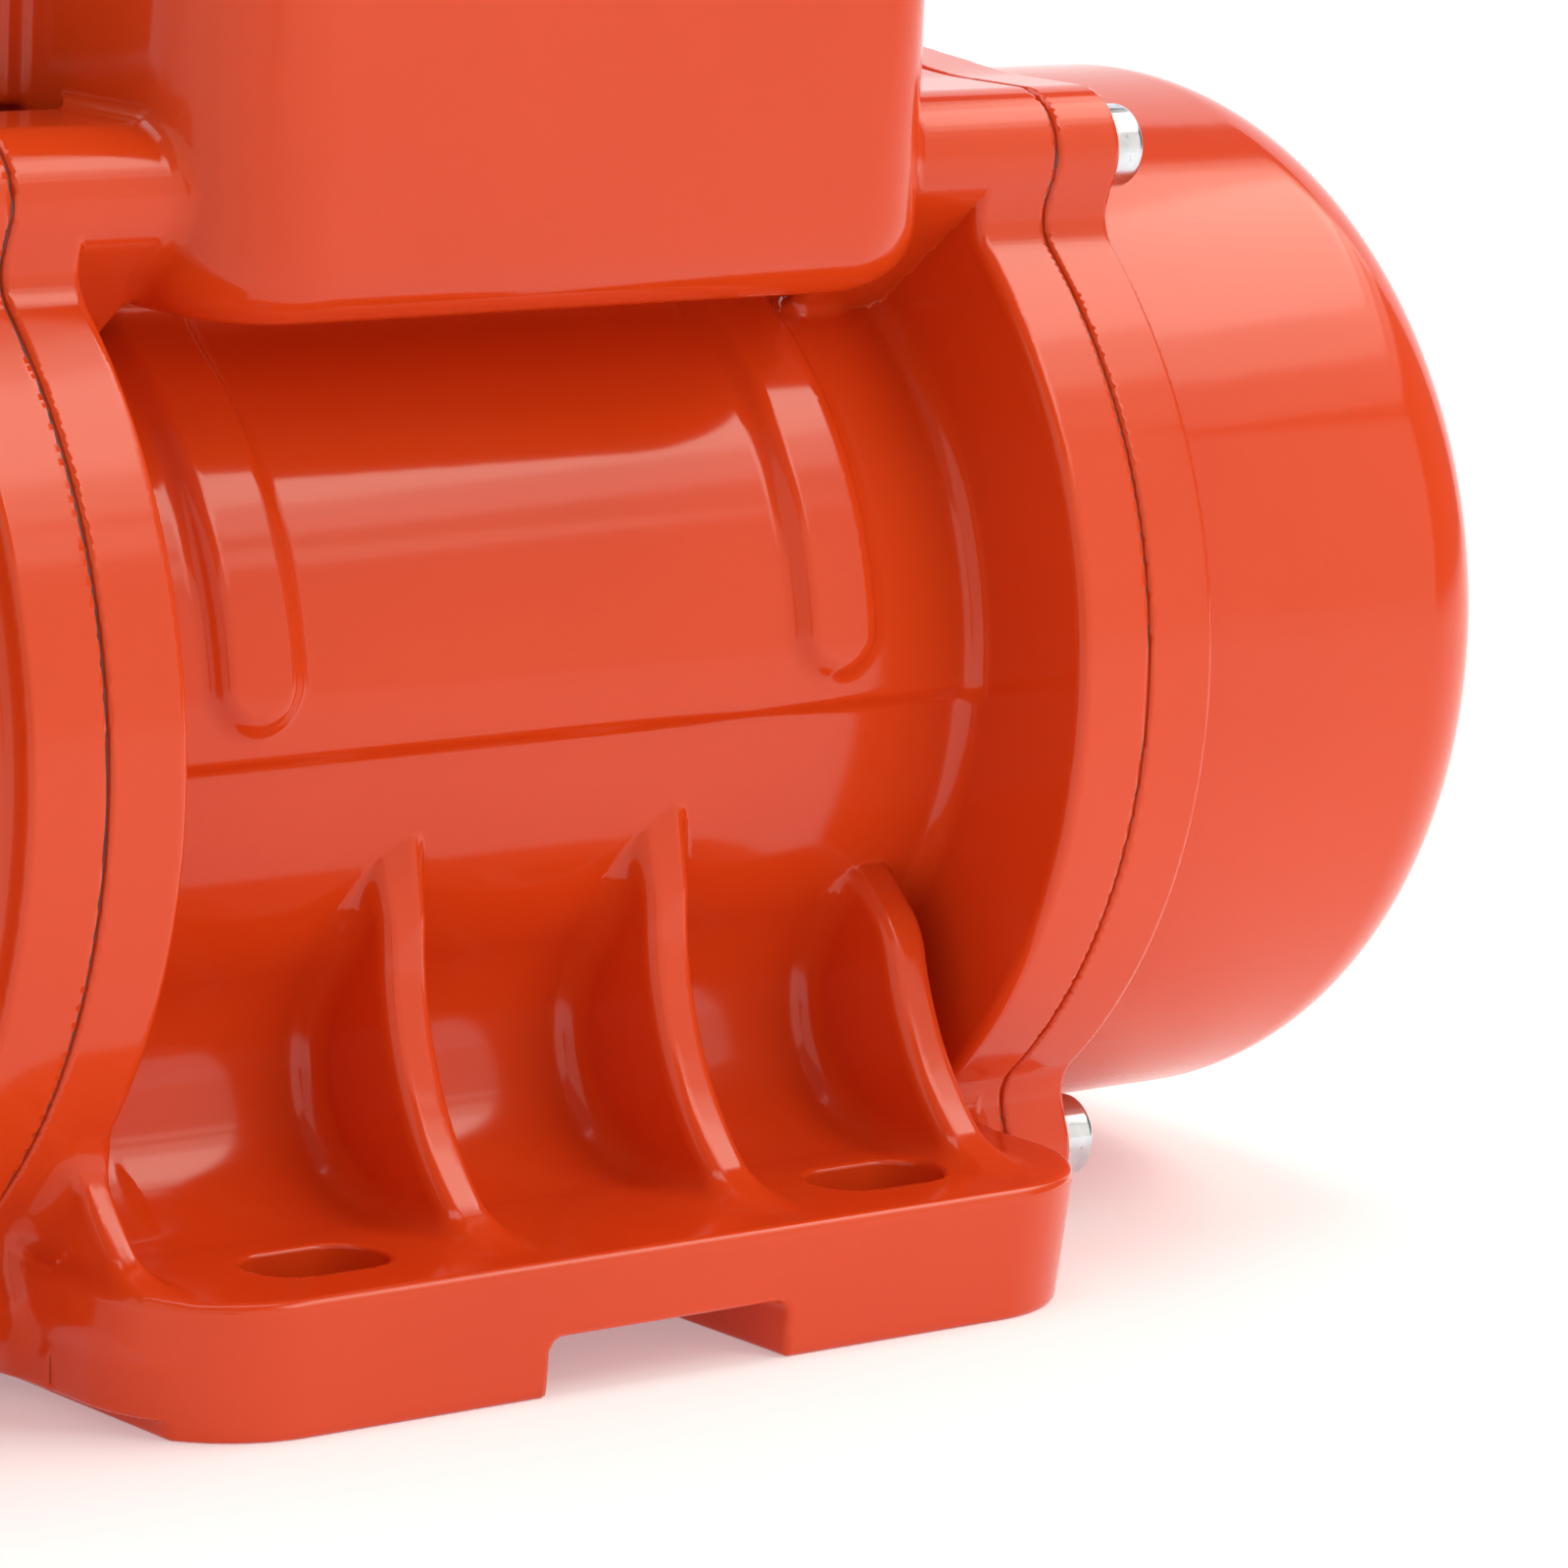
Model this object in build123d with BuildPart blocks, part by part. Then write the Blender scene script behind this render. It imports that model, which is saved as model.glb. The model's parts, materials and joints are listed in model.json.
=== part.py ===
from build123d import *
from math import sqrt
import os

os.makedirs("parts", exist_ok=True)

# Millimetres. The shaft runs along X, Z is up, and the origin lies on the mounting face,
# in the middle of the four foot slots.

# Mounting feet
slot_pitch_x = 68.0
slot_pitch_y = 106.0
slot_length = 15.0
slot_width = 9.0
foot_length = 116.0
foot_width = 130.0
foot_thickness = 13.5
foot_corner = 15.0
foot_draft = 4.0
foot_edge = 1.0
pad_inset = 4.0
pad_relief = 1.8
notch_width = 28.8
notch_height = 5.8
notch_corner = 1.5
belly_inset = 10.0
belly_width = 46.0
belly_height = 12.0
belly_corner = 6.0

# Casing barrel
shaft_height = 60.5
barrel_radius = 42.5
barrel_wall = 4.0
ledge_depth = 1.4
ledge_height = 58.8
flare_radius = 14.0
junction_radius = 2.0

# Flanges, and the seam between casing and end cover
flange_radius = 58.6
flange_width = 8.8
flange_edge = 1.0
seam_overhang = 4.2
cover_flange = 8.7
lobe_radius = 6.4
lobe_y = 34.5
lobe_z = 51.6
lobe_blend = 5.0
boss_reach = 10.9
boss_run = 15.5
boss_fall = 12.7
register_radius = 51.0
register_depth = 6.2

# Web ribs between barrel and feet
inner_rib_x = 16.0
outer_rib_inset = 7.4
rib_thickness = 5.4
rib_top_z = 52.5
rib_bury = 1.4
rib_waist_y = 42.0
rib_waist_z = 41.0
rib_arc = 34.0
rib_edge = 1.2
rib_root = 2.0
gusset_width = 3.6

# Raised bands round the upper barrel
band_inset = 18.4
band_width = 8.6
band_rise = 1.7
band_foot_z = 62.4

# Terminal box
box_inset = 8.9
box_width = 97.0
box_corner = 13.0
box_under_z = 100.0
box_floor_z = 107.5
box_top_z = 146.0
box_wall = 4.5
box_edge = 7.0
box_junction = 5.0
pillar_radius = 6.0
pillar_inset = 9.0
wire_hole_radius = 5.0
entry_width = 32.0
entry_proud = 3.0
entry_bottom_z = 118.0
entry_z = 133.5

# Terminal lid and gasket
gasket_thickness = 1.6
gasket_width = 3.2
lid_height = 12.0
lid_edge = 5.0
lid_skin = 3.5
lid_bore_depth = 5.5
lid_bore_radius = 4.8

# End covers
cup_radius = 55.3
cup_depth = 45.8
cup_corner = 12.7
cup_wall = 3.6
spigot_inner = 47.5
spigot_web = 3.0
cover_edge = 0.8
seal_radius = 54.6
seal_width = 1.8
seal_depth = 1.5

# Cap screws: thread diameter, head diameter, head height and socket across flats
cover_screw = 5.0
cover_screw_grip = 9.0
lid_screw = 5.0
lid_screw_grip = 12.0
head_ratio = 1.7
socket_ratio = 0.8
socket_depth_ratio = 0.5
bore_play = 0.25

# Fits
thread_fit = 0.05
seat_fit = 0.02
slide_fit = 0.05
free_gap = 0.3

# Ball bearings
bearing_bore = 20.0
bearing_outer = 47.0
bearing_width = 14.0
bearing_inset = 7.0
ball_pitch_radius = 16.75
ball_diameter = 7.9
ball_count = 8
ball_play = 0.06
race_land = 3.8
cage_thickness = 1.8
cage_width = 8.6
cage_play = 0.2

# Bearing shields
shield_rim = 4.2
shield_spigot = 6.0
shield_spigot_wall = 3.5
shield_dish = 2.0
hub_radius = 29.0
hub_inner_lip = 2.5
hub_outer_lip = 3.0
hub_lip = 20.5
retainer_width = 1.3
retainer_depth = 1.6
retainer_inner = 21.5
ring_gap = 8.0

# Stator
core_inset = 24.4
stator_bore = 21.0
stator_slots = 18
slot_mouth_radius = 22.6
slot_bottom_radius = 32.5
stator_slot_width = 4.6
slot_opening = 2.0
coil_inner = 23.6
coil_outer = 35.5
coil_overhang = 12.5
coil_round = 3.5

# Rotor
air_gap = 0.35
cage_ring_inner = 14.0
cage_ring_length = 7.0
rotor_bars = 14
bar_radius = 1.6
bar_pitch_radius = 17.8
shaft_core_radius = 13.6
shaft_shoulder_radius = 12.8
shoulder_length = 11.0
weight_seat_radius = 9.0
shaft_stub = 6.9
shaft_chamfer = 0.8
key_width = 5.0
key_height = 5.0
key_seat = 2.8
key_length = 12.0

# Eccentric weights
spacer_radius = 12.0
spacer_length = 4.5
weight_thickness = 14.0
weight_hub_radius = 17.0
weight_radius = 46.0
weight_spread = 152.0
weight_corner = 4.0
clamp_slit = 2.5
clamp_screw = 6.0
clamp_height = 14.6
clamp_ear = 11.0
clamp_ear_top = 20.0
shaft_ring_width = 1.2
shaft_ring_outer = 11.8
shaft_ring_depth = 0.8

# Terminal block
block_length = 52.0
block_width = 34.0
block_height = 9.0
block_inset = 6.0
stud_pitch_x = 14.0
stud_pitch_y = 15.0
stud_diameter = 4.0
stud_height = 13.0
stud_seat = 5.0
block_corner = 3.0
floor_tap = 6.0
nut_flats = 7.0
nut_height = 3.2
link_width = 7.0
link_thickness = 1.0
block_screw = 4.0
block_screw_x = 22.0
earth_inset = 10.0
earth_y = 24.0
earth_screw = 5.0
washer_radius = 5.2
washer_thickness = 1.0

# Cable gland
gland_thread_radius = 10.0
gland_flats = 24.0
gland_hex = 6.0
gland_collar_radius = 9.4
gland_collar = 7.0
gland_bore = 6.8
gland_nut_length = 13.0
gland_nut_bore = 6.2
gland_dome = 3.0
gland_round = 2.0
gland_ring_bore = 5.0

# Values that follow from those above
seam_x = foot_length / 2 + seam_overhang
flange_back_x = seam_x - flange_width
boss_end_x = flange_back_x - boss_reach
rib_places = (-inner_rib_x, inner_rib_x, flange_back_x - outer_rib_inset)
band_x = flange_back_x - band_inset
box_length = 2 * (flange_back_x - box_inset)
pad_length = foot_length - 2 * pad_inset
belly_length = foot_length - 2 * belly_inset
core_length = 2 * (flange_back_x - core_inset)
low_radius = barrel_radius - ledge_depth
bore_radius = barrel_radius - barrel_wall
cover_face_x = seam_x + cover_flange
register_floor_x = seam_x - register_depth
cup_end_x = cover_face_x + cup_depth
bearing_inner_x = register_floor_x - bearing_inset
shield_spigot_x = register_floor_x - shield_spigot
shield_web_x = register_floor_x - shield_dish
cup_inner_radius = cup_radius - cup_wall
bearing_outer_x = bearing_inner_x + bearing_width
bearing_mid_x = bearing_inner_x + bearing_width / 2
hub_inner_x = bearing_inner_x - hub_inner_lip
hub_outer_x = bearing_outer_x + hub_outer_lip
shoulder_x = bearing_inner_x - shoulder_length
wire_hole_x = core_length / 2 + wire_hole_radius + free_gap
rotor_radius = stator_bore - air_gap
spacer_end_x = bearing_outer_x + spacer_length
fixed_weight_x = spacer_end_x
adjust_weight_x = fixed_weight_x + weight_thickness + free_gap
weight_stack_x = adjust_weight_x + weight_thickness + free_gap
shaft_end_x = weight_stack_x + shaft_stub
room_length = box_length - 2 * box_wall
room_width = box_width - 2 * box_wall
room_corner = box_corner - box_wall
block_x = (block_length - room_length) / 2 + block_inset
earth_x = room_length / 2 - earth_inset
pillar_x = box_length / 2 - pillar_inset
pillar_y = box_width / 2 - pillar_inset
lid_seat_z = box_top_z + gasket_thickness
lid_top_z = lid_seat_z + lid_height
lid_screw_seat_z = lid_top_z - lid_bore_depth
block_top_z = box_floor_z + block_height
entry_face_x = -box_length / 2 - entry_proud
sides = (-1, 1)
shaft_line = Axis((0, 0, shaft_height), (1, 0, 0))

# The plane that holds the shaft's line: local x runs along the shaft, local y is the radius
axial = Plane(origin=(0, 0, shaft_height), x_dir=(1, 0, 0), z_dir=(0, -1, 0))


def section(x):
    """Plane square to the shaft at x, centred on it: local x runs along +Y, local y is up."""
    return Plane(origin=(x, 0, shaft_height), x_dir=(0, 1, 0), z_dir=(1, 0, 0))


def level(z):
    """Horizontal plane at height z."""
    return Plane.XY.offset(z)


def save(piece, label):
    """Names a finished piece and writes its file."""
    piece.label = label
    export_step(piece, f"parts/{label}.step")


def turned(points):
    """Solid of revolution about the shaft's line, from (x, radius) corners."""
    with BuildPart() as piece:
        with BuildSketch(axial):
            with BuildLine():
                Polyline(*points, close=True)
            make_face()
        revolve(axis=shaft_line)
    return piece.part


def ring(x_from, x_to, r_inner, r_outer):
    """Plain ring or sleeve on the shaft's line."""
    return turned([(x_from, r_inner), (x_to, r_inner), (x_to, r_outer), (x_from, r_outer)])


def mirrored(piece):
    """The same piece on the left end of the motor."""
    with BuildPart() as other:
        mirror(piece, about=Plane.YZ)
    return other.part


def cap_screw(seat, diameter, reach):
    """Socket-head cap screw: the head stands on the seat plane and the shank runs below it."""
    head = diameter * head_ratio
    with BuildPart() as screw:
        with BuildSketch(seat):
            Circle(head / 2)
        extrude(amount=diameter)
        with BuildSketch(seat.offset(diameter)):
            RegularPolygon(diameter * socket_ratio / 2, 6, major_radius=False)
        extrude(amount=-diameter * socket_depth_ratio, mode=Mode.SUBTRACT)
        with BuildSketch(seat):
            Circle(diameter / 2 - thread_fit)
        extrude(amount=-reach)
    return screw.part


def flange_outline(x):
    """Round flange with four screw lobes, flat along the top and the bottom between them."""
    with BuildSketch(section(x)) as outline:
        Circle(flange_radius)
        Rectangle(2 * flange_radius, 2 * (lobe_z + lobe_radius), mode=Mode.INTERSECT)
        Rectangle(2 * lobe_y, 2 * (lobe_z + lobe_radius))
        with GridLocations(2 * lobe_y, 2 * lobe_z, 2, 2):
            Circle(lobe_radius)
        notches = outline.vertices().filter_by(lambda v: abs(v.Y) > lobe_y + free_gap)
        notches = notches.filter_by(lambda v: abs(v.Z - shaft_height) > lobe_radius)
        fillet(notches, lobe_blend)
    return outline.sketch


def boss_outline(x):
    """Four screw bosses, each flat on its far side and sloping back to the barrel on the other."""
    radius = lobe_radius - seat_fit
    slope = sqrt(boss_run**2 + boss_fall**2)
    touch = (lobe_y + radius * boss_fall / slope, lobe_z - radius * boss_run / slope)
    root = (touch[0] - boss_run, touch[1] - boss_fall)
    crest = lobe_z + radius
    with BuildSketch(section(x)) as outline:
        with Locations((lobe_y, lobe_z)):
            Circle(radius)
        Polygon((lobe_y, crest), touch, root, (root[0], crest), align=None)
        mirror(about=Plane.YZ)
        mirror(about=Plane.XZ)
    return outline.sketch


def waist_outline(x):
    """Barrel with its side ledges, flaring down into the feet."""
    reach = low_radius + flare_radius
    foot_top = foot_thickness - shaft_height
    flare_z = foot_top + flare_radius
    flare_y = sqrt(reach**2 - flare_z**2)
    touch = (flare_y * low_radius / reach, flare_z * low_radius / reach)
    with BuildSketch(section(x)) as outline:
        Circle(barrel_radius)
        with Locations((0, ledge_height - shaft_height)):
            below = (Align.CENTER, Align.MAX)
            Rectangle(2 * foot_width, 2 * barrel_radius, align=below, mode=Mode.SUBTRACT)
        Circle(low_radius)
        with BuildLine():
            Line((0, 0), touch)
            TangentArc((flare_y, foot_top), touch, tangent=(-1, 0))
            Line((flare_y, foot_top), (0, foot_top))
            Line((0, foot_top), (0, 0))
        half = make_face()
        mirror(half, about=Plane.YZ)
    return outline.sketch


def rib_outline(x):
    """Web rib: upright beside the barrel, then curving out to the edge of the foot."""
    drop = rib_waist_z - foot_thickness
    root_y = rib_waist_y + rib_arc - sqrt(rib_arc**2 - drop**2)
    top = (low_radius - rib_bury, rib_top_z - shaft_height)
    waist = (rib_waist_y, rib_waist_z - shaft_height)
    root = (root_y, foot_thickness - shaft_height)
    with BuildSketch(section(x)) as outline:
        with BuildLine():
            Line((0, top[1]), top)
            Line(top, waist)
            TangentArc(waist, root, tangent=(0, -1))
            Line(root, (0, root[1]))
            Line((0, root[1]), (0, top[1]))
        half = make_face()
        mirror(half, about=Plane.YZ)
    return outline.sketch


def on_waist(edge):
    """True for an edge that lies on the lower barrel, on a flare or on top of the feet."""
    reach = low_radius + flare_radius
    flare_z = foot_thickness + flare_radius
    flare_y = sqrt(reach**2 - (flare_z - shaft_height) ** 2)
    for spot in (edge @ 0, edge @ 0.5, edge @ 1):
        from_shaft = sqrt(spot.Y**2 + (spot.Z - shaft_height) ** 2)
        from_flare = sqrt((abs(spot.Y) - flare_y) ** 2 + (spot.Z - flare_z) ** 2)
        off = (from_shaft - low_radius, from_flare - flare_radius, spot.Z - foot_thickness)
        if min(abs(gap) for gap in off) > seat_fit:
            return False
    return True


# Web ribs and the gusset under the left flange, rounded along their outer edges
with BuildPart() as ribs:
    for x in rib_places:
        extrude(rib_outline(x), amount=rib_thickness / 2, both=True)
    extrude(rib_outline(-flange_back_x), amount=-gusset_width)
    rims = ribs.edges().filter_by(lambda e: e.bounding_box().size.X < rib_edge)
    rims = rims.filter_by(lambda e: e.bounding_box().size.Z > rib_edge)
    fillet(rims.filter_by(lambda e: abs(e.center().Y) > low_radius - rib_bury), rib_edge)

# Raised bands, each with a round lower end
with BuildPart() as bands:
    for side in sides:
        with BuildSketch(section(side * band_x)):
            Circle(barrel_radius + band_rise)
        extrude(amount=band_width, both=True)
    with BuildSketch(Plane.XZ):
        for side in sides:
            with Locations((side * band_x, band_foot_z + band_width / 2)):
                Circle(band_width / 2)
                Rectangle(band_width, box_under_z - band_foot_z, align=(Align.CENTER, Align.MIN))
    extrude(amount=2 * barrel_radius, both=True, mode=Mode.INTERSECT)

# Terminal box as a rounded block, before it is hollowed
with BuildPart() as box_block:
    with BuildSketch(level(box_under_z)):
        RectangleRounded(box_length, box_width, box_corner)
    extrude(amount=box_top_z - box_under_z)
    fillet(box_block.faces().sort_by(Axis.Z)[0].edges(), box_edge)

# One end flange, rounded along its back rim
with BuildPart() as end_flange:
    extrude(flange_outline(flange_back_x), amount=seam_x - flange_back_x)
    fillet(end_flange.faces().sort_by(Axis.X)[0].edges(), flange_edge)

# Motor casing
with BuildPart() as motor_casing:
    # Feet: one drafted slab with rounded corners
    with BuildSketch(level(foot_thickness)):
        RectangleRounded(foot_length, foot_width, foot_corner)
    extrude(amount=-foot_thickness, taper=foot_draft)
    fillet(motor_casing.faces().sort_by(Axis.Z)[-1].edges(), foot_edge)
    # Barrel and flares
    extrude(waist_outline(0), amount=foot_length / 2 - foot_edge, both=True)
    add(end_flange.part)
    add(mirrored(end_flange.part))
    back_rims = motor_casing.edges().filter_by(GeomType.CIRCLE)
    back_rims = back_rims.filter_by(lambda e: abs(abs(e.center().X) - flange_back_x) < slide_fit)
    fillet(back_rims.filter_by(lambda e: abs(e.radius - barrel_radius) < slide_fit), junction_radius)
    back_rims = motor_casing.edges().filter_by(GeomType.CIRCLE)
    back_rims = back_rims.filter_by(lambda e: abs(abs(e.center().X) - flange_back_x) < seat_fit)
    fillet(back_rims.filter_by(on_waist), junction_radius)
    # Terminal box, blended into the barrel
    add(box_block.part)
    barrel_top_z = shaft_height + barrel_radius
    seat_edges = motor_casing.edges()
    seat_edges = seat_edges.filter_by_position(Axis.Z, box_under_z - foot_edge, barrel_top_z + foot_edge)
    seat_edges = seat_edges.filter_by_position(Axis.Y, -barrel_radius / 2, barrel_radius / 2)
    fillet(seat_edges.filter_by_position(Axis.X, -box_length / 2, box_length / 2), box_junction)
    add(bands.part)
    # Ribs, each with a fillet all round its root
    add(ribs.part)
    for x in rib_places:
        for side in sides:
            root = motor_casing.edges().filter_by(lambda e: abs(e.center().X - x) < rib_thickness)
            root = root.filter_by(lambda e: side * e.center().Y > foot_thickness)
            root = root.filter_by(lambda e: e.bounding_box().size.X < rib_thickness)
            fillet(root.filter_by(on_waist), rib_root)
    # Screw bosses, from inside the flanges to the box's end walls
    for side in sides:
        extrude(boss_outline(side * boss_end_x), amount=side * (boss_reach + flange_width / 2))
    # Pad for the cable entry
    with BuildSketch(Plane.YZ.offset(-box_length / 2 - entry_proud)):
        with Locations((0, entry_bottom_z)):
            Rectangle(entry_width, box_top_z - entry_bottom_z, align=(Align.CENTER, Align.MIN))
    extrude(amount=entry_proud + box_wall)
    # Barrel bore and the registers for shields and covers
    with BuildSketch(section(0)):
        Circle(bore_radius)
    extrude(amount=seam_x, both=True, mode=Mode.SUBTRACT)
    for side in sides:
        with BuildSketch(section(side * seam_x)):
            Circle(register_radius)
        extrude(amount=-side * register_depth, mode=Mode.SUBTRACT)
    # Terminal chamber with its four screw pillars
    with BuildSketch(level(box_floor_z)):
        RectangleRounded(room_length, room_width, room_corner)
        with GridLocations(2 * pillar_x, 2 * pillar_y, 2, 2):
            Circle(pillar_radius, mode=Mode.SUBTRACT)
    extrude(amount=box_top_z - box_floor_z, mode=Mode.SUBTRACT)
    with BuildSketch(level(box_top_z)):
        with GridLocations(2 * pillar_x, 2 * pillar_y, 2, 2):
            Circle(lid_screw / 2)
    extrude(amount=-lid_screw_grip - free_gap, mode=Mode.SUBTRACT)
    # Wire way into the barrel, cable entry, and tapped holes in the chamber's floor
    with BuildSketch(level(box_floor_z)):
        with Locations((wire_hole_x, 0)):
            Circle(wire_hole_radius)
    extrude(amount=-(box_floor_z - shaft_height), mode=Mode.SUBTRACT)
    with BuildSketch(Plane.YZ.offset(entry_face_x)):
        with Locations((0, entry_z)):
            Circle(gland_thread_radius)
    extrude(amount=entry_proud + box_wall + slide_fit, mode=Mode.SUBTRACT)
    with BuildSketch(level(box_floor_z)):
        with Locations((block_x - block_screw_x, 0), (block_x + block_screw_x, 0)):
            Circle(block_screw / 2)
        with Locations((earth_x, earth_y)):
            Circle(earth_screw / 2)
    extrude(amount=-floor_tap, mode=Mode.SUBTRACT)
    # Tapped holes for the cover screws
    for side in sides:
        with BuildSketch(section(side * seam_x)):
            with GridLocations(2 * lobe_y, 2 * lobe_z, 2, 2):
                Circle(cover_screw / 2)
        extrude(amount=-side * (cover_screw_grip + free_gap), mode=Mode.SUBTRACT)
    # Foot slots, the notch across the feet, and the hollow under the belly
    with BuildSketch(level(foot_thickness)):
        with GridLocations(slot_pitch_x, slot_pitch_y, 2, 2):
            SlotOverall(slot_length, slot_width)
    extrude(amount=-foot_thickness, mode=Mode.SUBTRACT)
    with BuildSketch(Plane.XZ) as notch:
        Rectangle(notch_width, 2 * notch_height)
        fillet(notch.vertices().group_by(Axis.Z)[-1], notch_corner)
    extrude(amount=foot_width / 2, both=True, mode=Mode.SUBTRACT)
    with BuildSketch(level(0)):
        RectangleRounded(belly_length, belly_width, belly_corner)
    extrude(amount=belly_height, mode=Mode.SUBTRACT)
    # The casting stands clear of the mounting face beyond the pads
    with BuildSketch(level(0)):
        Rectangle(2 * seam_x, 2 * foot_width)
        Rectangle(pad_length, 2 * foot_width, mode=Mode.SUBTRACT)
    extrude(amount=pad_relief, mode=Mode.SUBTRACT)

save(motor_casing.part, "motor_casing")

# End cover: lobed flange, deep round cup, and a short spigot in the casing's register
with BuildPart() as end_cover:
    extrude(flange_outline(seam_x), amount=cover_flange)
    fillet(end_cover.faces().sort_by(Axis.X)[-1].edges(), cover_edge)
    with BuildSketch(section(cover_face_x)):
        Circle(cup_radius)
    extrude(amount=cup_end_x - cover_face_x)
    fillet(end_cover.faces().sort_by(Axis.X)[-1].edges(), cup_corner)
    with BuildSketch(section(register_floor_x + shield_rim)):
        Circle(register_radius - slide_fit)
    extrude(amount=seam_x - register_floor_x - shield_rim)
    with BuildSketch(section(register_floor_x)):
        Circle(spigot_inner)
    extrude(amount=register_depth + spigot_web, mode=Mode.SUBTRACT)
    with BuildPart(mode=Mode.PRIVATE) as cavity:
        with BuildSketch(section(seam_x + spigot_web)):
            Circle(cup_inner_radius)
        extrude(amount=cup_end_x - cup_wall - seam_x - spigot_web)
        fillet(cavity.faces().sort_by(Axis.X)[-1].edges(), cup_corner - cup_wall)
    add(cavity.part, mode=Mode.SUBTRACT)
    # Groove for the sealing ring, and the screw holes
    with BuildSketch(section(seam_x)):
        Circle(seal_radius + seal_width / 2)
        Circle(seal_radius - seal_width / 2, mode=Mode.SUBTRACT)
    extrude(amount=seal_depth, mode=Mode.SUBTRACT)
    with BuildSketch(section(seam_x)):
        with GridLocations(2 * lobe_y, 2 * lobe_z, 2, 2):
            Circle(cover_screw / 2 + bore_play)
    extrude(amount=cover_flange, mode=Mode.SUBTRACT)

cover_seal = ring(seam_x, seam_x + seal_depth, seal_radius - seal_width / 2, seal_radius + seal_width / 2)

# The four cap screws of a cover
with BuildPart() as cover_screws:
    for y in (-lobe_y, lobe_y):
        for z in (-lobe_z, lobe_z):
            seat = Plane(origin=(cover_face_x, y, shaft_height + z), x_dir=(0, 1, 0), z_dir=(1, 0, 0))
            add(cap_screw(seat, cover_screw, cover_flange + cover_screw_grip))

# Terminal lid, hollow underneath, with counterbored screw holes
with BuildPart() as terminal_lid:
    with BuildSketch(level(lid_seat_z)):
        RectangleRounded(box_length, box_width, box_corner)
    extrude(amount=lid_height)
    fillet(terminal_lid.faces().sort_by(Axis.Z)[-1].edges(), lid_edge)
    with BuildSketch(level(lid_seat_z)):
        RectangleRounded(room_length, room_width, room_corner)
        with GridLocations(2 * pillar_x, 2 * pillar_y, 2, 2):
            Circle(pillar_radius, mode=Mode.SUBTRACT)
    extrude(amount=lid_height - lid_skin, mode=Mode.SUBTRACT)
    with BuildSketch(level(lid_top_z)):
        with GridLocations(2 * pillar_x, 2 * pillar_y, 2, 2):
            Circle(lid_bore_radius)
    extrude(amount=-lid_bore_depth, mode=Mode.SUBTRACT)
    with BuildSketch(level(lid_seat_z)):
        with GridLocations(2 * pillar_x, 2 * pillar_y, 2, 2):
            Circle(lid_screw / 2 + bore_play)
    extrude(amount=lid_height - lid_bore_depth, mode=Mode.SUBTRACT)

save(terminal_lid.part, "terminal_lid")

# Gasket under the lid
with BuildPart() as lid_gasket:
    with BuildSketch(level(box_top_z)):
        inset = box_wall - gasket_width
        RectangleRounded(box_length - inset, box_width - inset, box_corner - inset / 2)
        RectangleRounded(room_length, room_width, room_corner, mode=Mode.SUBTRACT)
        with GridLocations(2 * pillar_x, 2 * pillar_y, 2, 2):
            Circle(pillar_radius)
            Circle(lid_screw / 2 + bore_play, mode=Mode.SUBTRACT)
    extrude(amount=gasket_thickness)

save(lid_gasket.part, "lid_gasket")

with BuildPart() as lid_screws:
    for x in (-pillar_x, pillar_x):
        for y in (-pillar_y, pillar_y):
            seat = Plane(origin=(x, y, lid_screw_seat_z), x_dir=(1, 0, 0), z_dir=(0, 0, 1))
            add(cap_screw(seat, lid_screw, lid_screw_seat_z - box_top_z + lid_screw_grip))

save(lid_screws.part, "lid_screws")

# Terminal block with its studs, nuts and links
stud_columns = [block_x + column * stud_pitch_x for column in (-1, 0, 1)]
stud_spots = [(x, row * stud_pitch_y / 2) for x in stud_columns for row in sides]
block_screw_spots = [(block_x + side * block_screw_x, 0) for side in sides]

with BuildPart() as terminal_block:
    with BuildSketch(level(box_floor_z)):
        with Locations((block_x, 0)):
            RectangleRounded(block_length, block_width, block_corner)
    extrude(amount=block_height)
    with BuildSketch(level(block_top_z)):
        with Locations(*stud_spots):
            Circle(stud_diameter / 2)
    extrude(amount=-stud_seat, mode=Mode.SUBTRACT)
    with BuildSketch(level(block_top_z)):
        with Locations(*block_screw_spots):
            Circle(block_screw / 2 + bore_play)
    extrude(amount=-block_height, mode=Mode.SUBTRACT)

save(terminal_block.part, "terminal_block")

with BuildPart() as block_screws:
    for x, y in block_screw_spots:
        seat = Plane(origin=(x, y, block_top_z), x_dir=(1, 0, 0), z_dir=(0, 0, 1))
        add(cap_screw(seat, block_screw, block_height + floor_tap - free_gap))

save(block_screws.part, "block_screws")

with BuildPart() as terminal_studs:
    with BuildSketch(level(block_top_z - stud_seat)):
        with Locations(*stud_spots):
            Circle(stud_diameter / 2)
    extrude(amount=stud_seat + stud_height)

save(terminal_studs.part, "terminal_studs")

with BuildPart() as terminal_links:
    with BuildSketch(level(block_top_z)):
        with Locations(*[(x, 0) for x in stud_columns]):
            SlotOverall(stud_pitch_y + link_width, link_width, rotation=90)
        with Locations(*stud_spots):
            Circle(stud_diameter / 2 + seat_fit, mode=Mode.SUBTRACT)
    extrude(amount=link_thickness)

save(terminal_links.part, "terminal_links")

with BuildPart() as terminal_nuts:
    with BuildSketch(level(block_top_z + link_thickness)):
        with Locations(*stud_spots):
            RegularPolygon(nut_flats / 2, 6, major_radius=False)
            Circle(stud_diameter / 2 + seat_fit, mode=Mode.SUBTRACT)
    extrude(amount=nut_height)

save(terminal_nuts.part, "terminal_nuts")

# Earth screw and its washer
with BuildPart() as earth_washer:
    with BuildSketch(level(box_floor_z)):
        with Locations((earth_x, earth_y)):
            Circle(washer_radius)
            Circle(earth_screw / 2 + bore_play, mode=Mode.SUBTRACT)
    extrude(amount=washer_thickness)

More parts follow.
